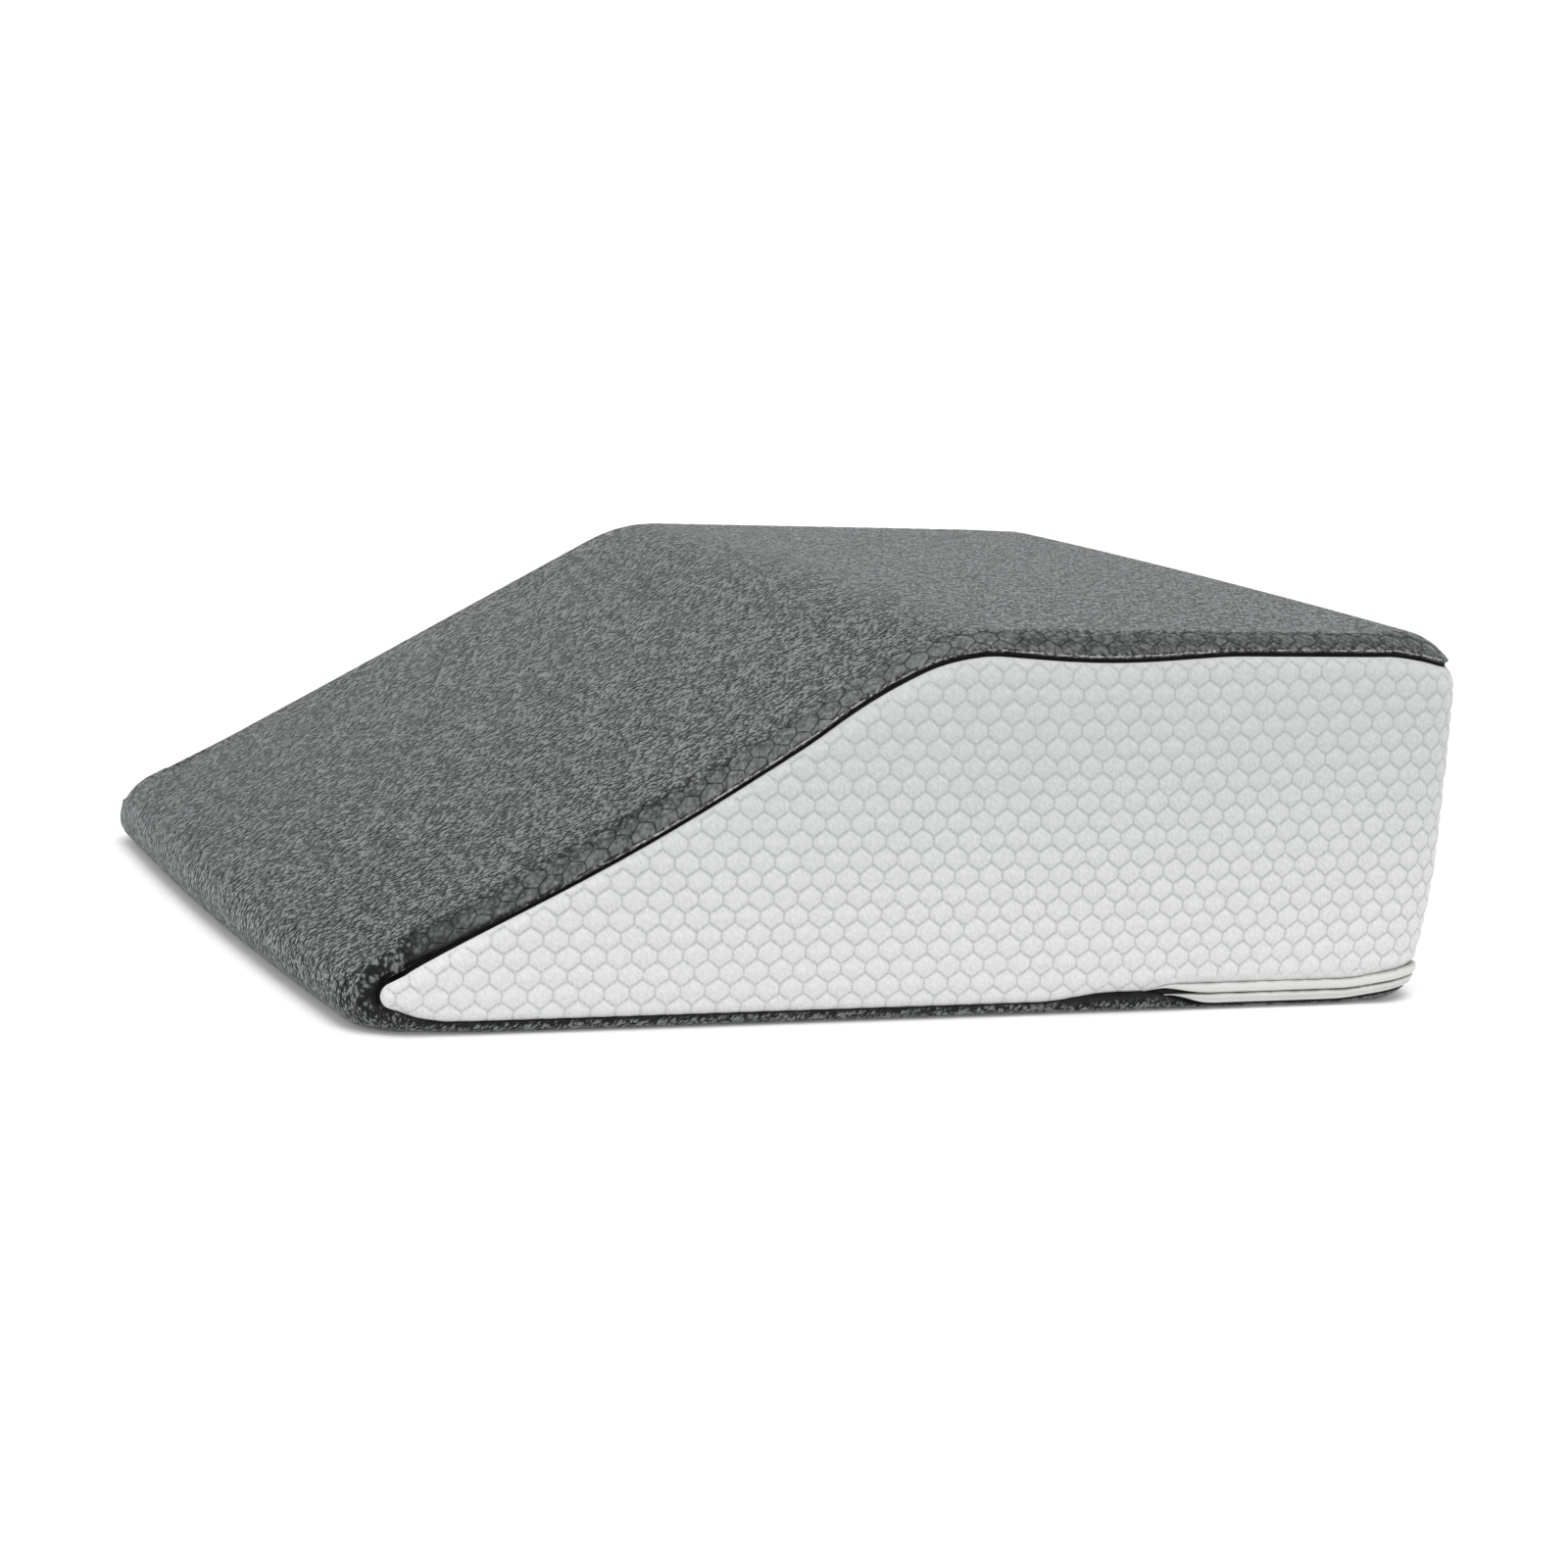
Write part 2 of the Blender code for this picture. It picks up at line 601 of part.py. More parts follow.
def build_strip(name, bottom, top, start, side, material):
    """A folded strip that runs from one side, round the back, to the other side.

    bottom and top give its edges' heights at s. It starts thin and narrow, and side is its outer
    section where it has grown to its full size.
    """
    shape = ((-BOXING_THICKNESS, 0.0), *side, (-BOXING_THICKNESS, 1.0))
    near = column_values(start, STRIP_STEP) + [CENTRE_BACK_S]
    stations = [(s, False) for s in near] + [(s, True) for s in reversed(near[:-1])]
    mesh = bmesh.new()
    rings = []
    for s, far_side in stations:
        grown = smooth(s, start, start + ZIP_LEAD_IN)
        height = (top(s) - bottom(s)) * (STRIP_START_SHARE + (1 - STRIP_START_SHARE) * grown)
        depth = STRIP_START_DEPTH + (1 - STRIP_START_DEPTH) * grown
        ring = []
        for offset, share in shape:
            out = (offset + BOXING_THICKNESS) * depth - BOXING_THICKNESS
            z = top(s) - height * (1 - share)
            ring.append(mesh.verts.new(wall_point(s, z, out, far_side)))
        rings.append(ring)
    size = len(shape)
    for first, second in zip(rings, rings[1:]):
        for i in range(size):
            j = (i + 1) % size
            mesh.faces.new((first[i], first[j], second[j], second[i]))
    mesh.faces.new(rings[0])
    mesh.faces.new(rings[-1])
    return new_object(name, mesh, material)


def build_zip_strips(material):
    """The two folded strips that close over the zip opening."""
    def opening_top(s):
        return low_seam(s) - FIT_GAP

    def parting(s):
        return min(ZIP_PARTING + zip_rise(s), low_seam(s) - LEAST_STRIP_HEIGHT)

    def below_parting(s):
        return parting(s) - FIT_GAP

    def opening_bottom(s):
        return recess_low_edge(s) + FIT_GAP

    build_strip("zip_strip_upper", parting, opening_top, UPPER_STRIP_START, UPPER_STRIP_SIDE,
                material)
    build_strip("zip_strip_lower", opening_bottom, below_parting, LOWER_STRIP_START,
                LOWER_STRIP_SIDE, material)


def main():
    """Clears the scene and builds every node of the pillow."""
    for leftover in list(bpy.data.objects):
        bpy.data.objects.remove(leftover)
    build_wedge(cloth("grey_cloth", GREY, 0.9))
    white = cloth("white_quilt", WHITE, 0.8)
    build_boxing("boxing_near", False, white)
    build_boxing("boxing_far", True, white)
    build_zip_strips(cloth("strip_cloth", STRIP_WHITE, 0.7))


main()
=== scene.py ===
"""A wedge pillow for resting the legs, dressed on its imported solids.

The grey knitted cover goes over the foam wedge. White quilted cloth covers its two sides and its
back, and two plain folded strips close over the zip opening, low on the back and on the last part
of each side. Lengths are in metres. X runs from the thin nose to the tall back, Y across the width
and Z up. On the walls, s is the distance along the edge of the footprint's near half, which is the
same as X on the straight side, and z is the height.
"""

import logging
import math
from dataclasses import dataclass, field
from enum import Enum
from typing import Any, Callable, NamedTuple, Optional, Sequence, Union

import bpy
import numpy as np
from mathutils import Matrix, Vector
from mathutils.geometry import delaunay_2d_cdt


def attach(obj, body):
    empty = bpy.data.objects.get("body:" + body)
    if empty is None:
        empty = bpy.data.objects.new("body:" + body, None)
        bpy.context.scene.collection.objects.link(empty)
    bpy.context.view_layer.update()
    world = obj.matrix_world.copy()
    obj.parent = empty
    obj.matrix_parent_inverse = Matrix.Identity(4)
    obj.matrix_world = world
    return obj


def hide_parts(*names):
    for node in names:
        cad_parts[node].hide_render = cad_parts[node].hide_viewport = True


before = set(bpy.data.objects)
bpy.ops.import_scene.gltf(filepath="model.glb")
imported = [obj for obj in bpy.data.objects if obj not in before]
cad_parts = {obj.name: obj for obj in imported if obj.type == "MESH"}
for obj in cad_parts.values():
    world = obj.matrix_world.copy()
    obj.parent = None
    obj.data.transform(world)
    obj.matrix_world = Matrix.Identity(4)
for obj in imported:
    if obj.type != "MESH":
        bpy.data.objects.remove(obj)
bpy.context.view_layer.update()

LOG = logging.getLogger("wedge_pillow")

Array = np.ndarray
WELD_SCALE = 2e5


def smooth(value: Any, low: float, high: float) -> Array:
    """Goes from 0 at low to 1 at high with level ends.

    Args:
        value: one number or an array of them.
        low: where it is still 0.
        high: where it has reached 1.

    Returns:
        The blended value or values.
    """
    t = np.clip((np.asarray(value, float) - low) / (high - low), 0.0, 1.0)
    return t * t * (3 - 2 * t)


def bump(value: Any, centre: float, half_width: float) -> Array:
    """A smooth hump of height 1.

    Args:
        value: one number or an array of them.
        centre: where the hump is 1.
        half_width: how far from the centre it has fallen to 0.

    Returns:
        The height of the hump at each value.
    """
    t = np.minimum(1.0, np.abs(np.asarray(value, float) - centre) / half_width)
    return (1 - t * t) ** 2


def ripple(u: Any, v: Any, length: float, phase: float) -> Array:
    """Uneven waves from -1 to 1 without any random number.

    Args:
        u: first coordinate.
        v: second coordinate.
        length: about how long one wave is.
        phase: shifts the waves, so that two of them differ.

    Returns:
        The height of the waves at each point.
    """
    k = 2 * math.pi / length
    waves = np.sin(k * (u + 0.37 * v) + phase)
    waves = waves + np.sin(k * (0.61 * u - 0.83 * v) * 1.31 + 2.1 * phase + 1.0)
    waves = waves + np.sin(k * (0.29 * u + 1.07 * v) * 0.77 - 1.7 * phase + 2.3)
    return waves / 3.0


def slope_of(curve: Callable[[Array], Array], at: Array, step: float) -> Array:
    """Slope of a curve, from its values a small step either side."""
    return (curve(at + step) - curve(at - step)) / (2 * step)


def weld(points: Array) -> tuple[Array, Array]:
    """Finds points that are the same to within a few micrometres.

    Args:
        points: one row for each point.

    Returns:
        The index of each different point's first row, and each row's number among them.
    """
    keys = np.round(points * WELD_SCALE).astype(np.int64)
    _, first, number = np.unique(keys, axis=0, return_index=True, return_inverse=True)
    return first, number


def round_trip(near: Array, far: Array) -> Array:
    """Joins the near half's rows and the far half's in reverse, which share their last."""
    return np.concatenate([near, far[-2::-1]])


class Hump(NamedTuple):
    """A smooth hump across a seam or round the white tip."""

    height: float
    centre: float
    half_width: float

    def at(self, value: Any) -> Array:
        """The hump's height at one value or at each of an array."""
        return self.height * bump(value, self.centre, self.half_width)


class Side(Enum):
    """The two halves of the pillow, either side of the plane through its middle."""

    NEAR = "near"
    FAR = "far"

    @property
    def sign(self) -> float:
        """Turns the near half's Y into this half's."""
        return 1.0 if self is Side.NEAR else -1.0


class EdgeShape(NamedTuple):
    """Rounding of the wedge's edge at one or more places along its footprint."""

    roll_in: Array
    roll_down: Array
    base_roll: Array
    start_height: Array
    low_height: Array
    last_angle: Array


@dataclass(frozen=True)
class WedgeForm:
    """The wedge's own form: footprint, ramp, rounded edges and how the soft block settles."""

    length: float = 0.610
    width: float = 0.533
    top_height: float = 0.196
    ramp_angle: float = math.radians(28.8)
    ridge_x: float = 0.004
    ridge_radius: float = 0.090
    nose_radius: float = 0.0184
    nose_corner_radius: float = 0.030
    back_corner_radius: float = 0.034
    centre_shift: float = 0.0027
    edge_roll_in: float = 0.024
    edge_roll_down: float = 0.017
    back_roll_in: float = 0.036
    back_roll_down: float = 0.030
    base_roll: float = 0.008
    base_roll_back_corner: float = 0.014
    nose_blend_length: float = 0.050
    nose_bow: float = 0.008
    nose_bow_reach: float = 0.160
    top_crown: float = 0.0040
    crown_share_at_ends: float = 0.4
    side_bulge: float = 0.0030
    back_bulge: float = 0.0030
    back_bulge_full_at: float = 0.6
    back_pull_in: float = 0.0160
    back_pull_in_height: float = 0.045
    back_reach: float = 0.200
    corner_reach_in_radii: float = 1.8
    crest_step: float = 1e-5
    run_reach: float = 0.36
    run_points: int = 1441

    @property
    def half_length(self) -> float:
        """Half the footprint's length."""
        return self.length / 2

    @property
    def half_width(self) -> float:
        """Half the footprint's width."""
        return self.width / 2

    @property
    def back_arc_s(self) -> float:
        """Where the back corner's arc starts."""
        return self.half_length - self.back_corner_radius

    @property
    def back_flat_s(self) -> float:
        """Where the back corner's arc ends and the back starts."""
        return self.back_arc_s + self.back_corner_radius * math.pi / 2

    @property
    def back_corner_s(self) -> float:
        """The middle of the back corner."""
        return (self.back_arc_s + self.back_flat_s) / 2

    @property
    def centre_back_s(self) -> float:
        """The middle of the back."""
        return self.back_flat_s + self.half_width - self.back_corner_radius

    @property
    def nose_arc_s(self) -> float:
        """Where the nose corner's arc meets the straight side."""
        return -self.half_length + self.nose_corner_radius

    @property
    def nose_flat_s(self) -> float:
        """Where the nose corner's arc meets the nose."""
        return self.nose_arc_s - self.nose_corner_radius * math.pi / 2

    @property
    def centre_nose_s(self) -> float:
        """The middle of the nose."""
        return self.nose_flat_s - (self.half_width - self.nose_corner_radius)

    def outline(self, s: Array) -> tuple[Array, Array, Array, Array]:
        """Points and outward directions on the footprint's near half.

        Args:
            s: distances along the edge.

        Returns:
            X and Y of the points, then X and Y of the directions.
        """
        s = np.asarray(s, float)
        back = np.clip((s - self.back_arc_s) / self.back_corner_radius, 0, math.pi / 2)
        nose = np.clip((self.nose_arc_s - s) / self.nose_corner_radius, 0, math.pi / 2)
        turn = back - nose
        radius = np.where(turn < 0, self.nose_corner_radius, self.back_corner_radius)
        out_x, out_y = np.sin(turn), -np.cos(turn)
        run = np.maximum(0, s - self.back_flat_s) + np.maximum(0, self.nose_flat_s - s)
        x = np.clip(s, self.nose_arc_s, self.back_arc_s) + radius * out_x
        y = -self.half_width + radius * (1 + out_y) + run
        return x, y, out_x, out_y

    def crest(self, x: Array) -> Array:
        """Height of the unrounded top: the ramp, the ridge's arc and the level part.

        Args:
            x: places along the length.

        Returns:
            The heights there.
        """
        x = np.asarray(x, float)
        tangent = self.ridge_radius * math.tan(self.ramp_angle / 2)
        arc_end = self.ridge_x + tangent
        arc_start = self.ridge_x - tangent * math.cos(self.ramp_angle)
        ramp = self.top_height - (self.ridge_x - x) * math.tan(self.ramp_angle)
        drop = np.sqrt(np.maximum(0, self.ridge_radius**2 - (arc_end - x) ** 2))
        arc = self.top_height - self.ridge_radius + drop
        return np.where(x >= arc_end, self.top_height, np.where(x <= arc_start, ramp, arc))

    def cloth_run(self, x: Array) -> Array:
        """Length of cloth along the top from the middle of the pillow to each x."""
        grid = np.linspace(-self.run_reach, self.run_reach, self.run_points)
        steps = np.hypot(np.diff(grid), np.diff(self.crest(grid)))
        run = np.concatenate(([0.0], np.cumsum(steps)))
        return np.interp(x, grid, run - np.interp(0.0, grid, run))

    def edge_shape(self, s: Array) -> EdgeShape:
        """Rounding of the edge.

        Args:
            s: distances along the edge.

        Returns:
            The sizes of the quarter ellipse at the top and of the roll at the base.
        """
        x, _, out_x, _ = self.outline(s)
        nose = 1 - smooth(s, self.nose_arc_s - self.nose_corner_radius,
                          self.nose_arc_s + self.nose_blend_length)
        back = smooth(s, self.back_arc_s - self.back_corner_radius, self.back_corner_s)
        corner = bump(s, self.back_corner_s,
                      self.back_corner_radius * self.corner_reach_in_radii)
        roll_in = self.edge_roll_in + (self.nose_radius - self.edge_roll_in) * nose
        roll_in = roll_in + (self.back_roll_in - self.edge_roll_in) * back
        roll_down = self.edge_roll_down + (self.nose_radius - self.edge_roll_down) * nose
        roll_down = roll_down + (self.back_roll_down - self.edge_roll_down) * back
        base = self.base_roll + (self.base_roll_back_corner - self.base_roll) * corner
        base = base + (self.nose_radius - base) * nose
        slope = slope_of(self.crest, x - out_x * roll_in / 2, self.crest_step)
        inward = np.maximum(0.0, -out_x * slope)
        last = np.arctan2(roll_down, roll_in * inward)
        last_height = self.crest(x - out_x * roll_in * (1 - np.cos(last)))
        start = last_height - roll_down * np.sin(last)
        return EdgeShape(roll_in, roll_down, base, start, np.minimum(base, start), last)

    def surface_inset(self, s: Array, z: Array) -> Array:
        """How far in from the footprint's edge the wall is.

        Args:
            s: distances along the edge.
            z: heights.

        Returns:
            The distance in from the edge at each place.
        """
        shape = self.edge_shape(s)
        rise = np.clip((z - shape.start_height) / shape.roll_down, 0, 1)
        fall = np.clip((shape.low_height - z) / shape.low_height, 0, 1)
        top = shape.roll_in * (1 - np.sqrt(1 - rise**2))
        return top + shape.base_roll * (1 - np.sqrt(1 - fall**2))

    def settle(self, x: Array, y: Array, z: Array) -> Array:
        """Moves points of the plain wedge to where they lie in the soft, filled one.

        Args:
            x: places along the length.
            y: places across the width.
            z: heights.

        Returns:
            One row of three coordinates for each point.
        """
        across = np.minimum(1.0, np.abs(y) / self.half_width)
        upright = np.clip(z / self.top_height, 0.0, 1.0)
        flat_share = np.maximum(0.0, 1 - (x / self.half_length) ** 2)
        nose = 1 - smooth(x, -self.half_length, -self.half_length + self.nose_bow_reach)
        back = smooth(x, self.half_length - self.back_reach, self.half_length)
        local_top = np.maximum(self.crest(x), 2 * self.nose_radius)
        share = np.clip(z / local_top, 0.0, 1.0)
        new_x = x + self.centre_shift - self.nose_bow * nose * (1 - across**2)
        full = smooth(upright, 0.0, self.back_bulge_full_at) * (1 - upright**4)
        new_x = new_x + self.back_bulge * back * (1 - across**2) * full
        new_x = new_x - self.back_pull_in * back * np.exp(-z / self.back_pull_in_height)
        side = self.side_bulge * across**4 * 4 * share * (1 - share) * flat_share
        lengthwise = self.crown_share_at_ends + (1 - self.crown_share_at_ends) * flat_share
        crown = self.top_crown * (1 - across**2) * lengthwise * share**2
        return np.stack([new_x, y + np.sign(y) * side, z + crown], axis=-1)

    def wall_point(self, s: Array, z: Array, offset: Array, side: Side) -> Array:
        """Settled points on or near the wall.

        Args:
            s: distances along the edge.
            z: heights.
            offset: how far out from the wall's surface each point is.
            side: the half of the pillow.

        Returns:
            One row of three coordinates for each point.
        """
        s, z, offset = np.broadcast_arrays(*(np.asarray(v, float) for v in (s, z, offset)))
        x, y, out_x, out_y = self.outline(s)
        out = offset - self.surface_inset(s, z)
        return self.settle(x + out_x * out, (y + out_y * out) * side.sign, z)

    def base_point(self, x: Array, y: Array) -> Array:
        """Settled points of the flat base."""
        return self.settle(x, y, np.zeros(len(x)))

    def nearest_edge(self, x: Array, y: Array) -> tuple[Array, Array]:
        """The footprint's edge nearest to plan points of the near half.

        Args:
            x: places along the length.
            y: places across the width, 0 or below.

        Returns:
            The distance s along the edge, and how far inside the edge each point is.
        """
        hl, hw = self.half_length, self.half_width
        inside = np.stack([y + hw, x + hl, hl - x])
        which = np.argmin(inside, axis=0)
        depth = np.min(inside, axis=0)
        s = np.where(which == 0, np.clip(x, self.nose_arc_s, self.back_arc_s),
                     np.where(which == 1, self.nose_flat_s - (y + hw - self.nose_corner_radius),
                              self.back_flat_s + y + hw - self.back_corner_radius))
        for centre, radius, sign, start in (
                (self.back_arc_s, self.back_corner_radius, 1.0, self.back_arc_s),
                (self.nose_arc_s, self.nose_corner_radius, -1.0, self.nose_arc_s)):
            over = sign * (x - centre)
            down = -(y + hw - radius)
            corner = (over > 0) & (down > 0)
            turn = np.arctan2(np.maximum(over, 1e-12), np.maximum(down, 1e-12))
            s = np.where(corner, start + sign * radius * turn, s)
            depth = np.where(corner, radius - np.hypot(over, down), depth)
        return s, depth

    def top_point(self, x: Array, y: Array) -> Array:
        """Settled points of the rounded top.

        Args:
            x: places along the length before settling.
            y: places across the width before settling.

        Returns:
            One row of three coordinates for each point.
        """
        s, depth = self.nearest_edge(x, -np.abs(y))
        shape = self.edge_shape(s)
        cosine = np.clip(1 - depth / shape.roll_in, 0, 1)
        rolled = shape.start_height + shape.roll_down * np.sqrt(1 - cosine**2)
        level = depth >= shape.roll_in * (1 - np.cos(shape.last_angle))
        return self.settle(x, y, np.where(level, self.crest(x), rolled))


@dataclass(frozen=True)
class Seams:
    """Where the white cloth and the zip opening end on the walls."""

    form: WedgeForm
    drop: float = 0.0107
    drop_back: float = 0.0150
    waves: tuple[tuple[float, float, float], ...] = (
        (-0.160, 0.115, 0.0038), (-0.035, 0.048, -0.0024),
        (0.085, 0.080, 0.0034), (0.294, 0.045, 0.0045))
    low_height: float = 0.0070
    low_rise_at_tip: float = 0.0070
    low_rise_length: float = 0.032
    tuck_rise: float = 0.0042
    tuck_start: float = 0.057
    tuck_end: float = 0.100
    tip_s: float = -0.2850
    tip_height: float = 0.0200
    tip_radius: float = 0.0062
    tip_points: int = 13
    tip_top_turn: float = 117.0
    tip_low_turn: float = 249.0
    zip_start: float = 0.114
    zip_top: float = 0.0146
    zip_parting: float = 0.0091
    zip_bottom: float = 0.0028
    zip_corner_rise: float = 0.0045
    zip_lead_in: float = 0.044
    zip_opening: float = 0.022
    zip_corner_reach_in_radii: float = 1.6

    def top(self, s: Array) -> Array:
        """Height of the seam between the grey top and the white cloth."""
        form = self.form
        back = smooth(s, form.back_arc_s, form.back_flat_s)
        drop = self.drop + (self.drop_back - self.drop) * back
        for middle, half_length, extra in self.waves:
            drop = drop + extra * bump(s, middle, half_length)
        return form.crest(form.outline(s)[0]) - drop

    def zip_rise(self, s: Array) -> Array:
        """How far the zip opening is pulled up round the back corner."""
        form = self.form
        reach = form.back_corner_radius * self.zip_corner_reach_in_radii
        return self.zip_corner_rise * bump(s, form.back_corner_s, reach)

    def low(self, s: Array) -> Array:
        """Height of the white cloth's lower edge: the base seam, then the zip's top."""
        tuck = self.tuck_rise * smooth(s, self.tuck_start, self.tuck_end)
        opening = self.zip_top - self.low_height - self.tuck_rise
        opening = opening * smooth(s, self.zip_start, self.zip_start + self.zip_opening)
        tip = np.maximum(0.0, (self.tip_s + self.low_rise_length - s) / self.low_rise_length)
        return (self.low_height + tuck + opening + self.zip_rise(s)
                + self.low_rise_at_tip * tip**2)

    def base(self, s: Array) -> Array:
        """Height at which the grey cloth of the base ends: under the white or the zip strips."""
        opening = smooth(s, self.zip_start, self.zip_start + self.zip_lead_in)
        seam = self.low(np.minimum(s, self.zip_start))
        return seam + (self.zip_bottom + self.zip_rise(s) - seam) * opening

    def tip_arc(self, degrees: Any) -> tuple[Array, Array]:
        """Distances s and heights on the white tip's arc, at turns in degrees."""
        turns = np.radians(degrees)
        return (self.tip_s + self.tip_radius * np.cos(turns),
                self.tip_height + self.tip_radius * np.sin(turns))

    def white_edges(self, s: Array) -> tuple[Array, Array]:
        """Lower and upper edge of the white cloth, which close in a round tip near the nose.

        Args:
            s: distances along the edge.

        Returns:
            The lower heights and the upper heights, equal where there is no white cloth.
        """
        s = np.asarray(s, float)
        join = self.tip_s + self.tip_radius
        edges = []
        for degrees, line in (((180, 190, 205, 220, 235, self.tip_low_turn), self.low),
                              ((180, 170, 155, 140, 125, self.tip_top_turn), self.top)):
            along, heights = self.tip_arc(degrees)
            tip = np.interp(s, np.append(along, join), np.append(heights, line(join)))
            edges.append(np.where(s < join, tip, line(s)))
        return edges[0], edges[1]


@dataclass(frozen=True)
class HexQuilting:
    """Hexagon quilting with upright sides: two zigzag threads and short runs between them."""

    across: float = 0.0131
    row: float = 0.0092
    upright: float = 0.0048
    origin_u: float = -0.0021
    origin_v: float = 0.0926
    upright_thread_share: float = 0.62

    @property
    def peak(self) -> float:
        """Height of a hexagon's point over its shoulders."""
        return self.row - self.upright

    @property
    def widest(self) -> float:
        """Distance from a hexagon's middle to its nearest side."""
        slope = math.hypot(self.across / 2, self.peak)
        return self.across / 2 * (self.upright / 2 + self.peak) / slope

    def depth(self, u: Array, v: Array) -> tuple[Array, Array]:
        """Distance to the stitched sides, and a number from 0 to 1 for each hexagon.

        Args:
            u: places along the rows.
            v: places across the rows.

        Returns:
            The distances and the hexagons' numbers.
        """
        half, slope = self.across / 2, math.hypot(self.across / 2, self.peak)
        best = np.full(np.shape(u), -1.0)
        tag = np.zeros(np.shape(u))
        for shift in (0, 1):
            column = np.round((u - self.origin_u) / self.across - shift / 2)
            line = np.round((v - self.origin_v) / (2 * self.row) - shift / 2)
            du = np.abs(u - self.origin_u - (column + shift / 2) * self.across)
            dv = np.abs(v - self.origin_v - (line + shift / 2) * 2 * self.row)
            slanted = (half * (self.upright / 2 + self.peak) - self.peak * du - half * dv) / slope
            inside = np.minimum(half - du, slanted)
            number = np.sin(column * 12.9898 + (2 * line + shift) * 78.233 + 4.1) * 43758.5453
            tag = np.where(inside > best, number - np.floor(number), tag)
            best = np.maximum(best, inside)
        return np.maximum(best, 0.0), tag

    def centres(self, low: tuple[float, float], high: tuple[float, float]) -> Array:
        """Middles of the hexagons in a box.

        Args:
            low: lowest u and v.
            high: highest u and v.

        Returns:
            One row of u and v for each hexagon.
        """
        rows = np.arange(math.floor((low[1] - self.origin_v) / self.row) - 1,
                         math.ceil((high[1] - self.origin_v) / self.row) + 2)
        columns = np.arange(math.floor((low[0] - self.origin_u) / self.across) - 1,
                            math.ceil((high[0] - self.origin_u) / self.across) + 2)
        column, row = np.meshgrid(columns, rows)
        u = self.origin_u + (column + 0.5 * (row % 2)) * self.across
        return np.stack([u.ravel(), (self.origin_v + row * self.row).ravel()], axis=1)

    def mesh_points(self, low: tuple[float, float], high: tuple[float, float],
                    steps: int) -> Array:
        """Points of a mesh whose edges follow every stitched side.

        Args:
            low: lowest u and v.
            high: highest u and v.
            steps: into how many parts each side is divided.

        Returns:
            One row of u and v for each point.
        """
        half, shoulder = self.across / 2, self.upright / 2
        corners = np.array([(half, -shoulder), (half, shoulder), (0, shoulder + self.peak),
                            (-half, shoulder), (-half, -shoulder), (0, -shoulder - self.peak)])
        local = []
        for i in range(6):
            a, b = corners[i], corners[(i + 1) % 6]
            for j in range(steps + 1):
                for k in range(steps + 1 - j):
                    local.append((a * j + b * k) / steps)
        local = np.unique(np.round(local, 7), axis=0)
        centres = self.centres(low, high)
        points = (centres[:, None, :] + local[None, :, :]).reshape(-1, 2)
        return points[np.sort(weld(points)[0])]

    def threads(self, low: tuple[float, float], high: tuple[float, float]
                ) -> tuple[Array, Array]:
        """The stitched sides in a box.

        Args:
            low: lowest u and v.
            high: highest u and v.

        Returns:
            The slanted sides and the upright sides, each as start u, start v, end u, end v.
        """
        c = self.centres(low, high)
        half, shoulder = self.across / 2, self.upright / 2
        reach = shoulder * self.upright_thread_share
        left = c + (-half, shoulder)
        peak = c + (0.0, shoulder + self.peak)
        right = c + (half, shoulder)
        slanted = np.concatenate([np.hstack([left, peak]), np.hstack([peak, right])])
        upright = np.hstack([c + (-half, -reach), c + (-half, reach)])
        return slanted, upright


@dataclass
class MeshParts:
    """Points and faces of a piece before it becomes a Blender mesh."""

    points: list[Array] = field(default_factory=list)
    faces: list[tuple[int, ...]] = field(default_factory=list)
    count: int = 0

    def add(self, points: Array) -> int:
        """Adds points and returns the index of the first."""
        start = self.count
        self.points.append(np.asarray(points, float).reshape(-1, 3))
        self.count += len(self.points[-1])
        return start

    def add_grid(self, rows: int, columns: int, start: int, closed: bool, flip: bool) -> None:
        """Adds quads between rows of points.

        Args:
            rows: how many rows there are.
            columns: how many points each row has.
            start: index of the first point.
            closed: joins the last column to the first.
            flip: turns the faces over.
        """
        for i in range(rows - 1):
            for j in range(columns if closed else columns - 1):
                k = (j + 1) % columns
                a, b = start + i * columns + j, start + i * columns + k
                quad = (a, b, b + columns, a + columns)
                self.faces.append(quad[::-1] if flip else quad)

    def add_tube(self, rings: Array) -> None:
        """Adds a tube with flat ends.

        Args:
            rings: the points, by ring, by place in the ring and by coordinate.
        """
        rows, sides = rings.shape[:2]
        start = self.add(rings)
        self.add_grid(rows, sides, start, True, False)
        last = start + (rows - 1) * sides
        self.faces.append(tuple(range(start, start + sides))[::-1])
        self.faces.append(tuple(range(last, last + sides)))

    def mesh(self, name: str) -> bpy.types.Mesh:
        """Makes the Blender mesh, smooth all over.

        Args:
            name: the mesh's name.

        Returns:
            The mesh.
        """
        built = bpy.data.meshes.new(name)
        built.from_pydata(np.concatenate(self.points).tolist(), [], self.faces)
        built.shade_smooth()
        return built


def set_uv(mesh: bpy.types.Mesh, uv: Array) -> None:
    """Gives a mesh one UV map, in metres of cloth.

    Args:
        mesh: the mesh.
        uv: one row of u and v for each vertex.
    """
    layer = mesh.uv_layers.new(name="cloth")
    index = np.zeros(len(mesh.loops), np.int32)
    mesh.loops.foreach_get("vertex_index", index)
    layer.data.foreach_set("uv", uv[index].astype(np.float32).ravel())


def set_attribute(mesh: bpy.types.Mesh, name: str, values: Array) -> None:
    """Gives a mesh one number for each vertex.

    Args:
        mesh: the mesh.
        name: the attribute's name.
        values: the numbers.
    """
    attribute = mesh.attributes.new(name, "FLOAT", "POINT")
    attribute.data.foreach_set("value", np.asarray(values, np.float32))


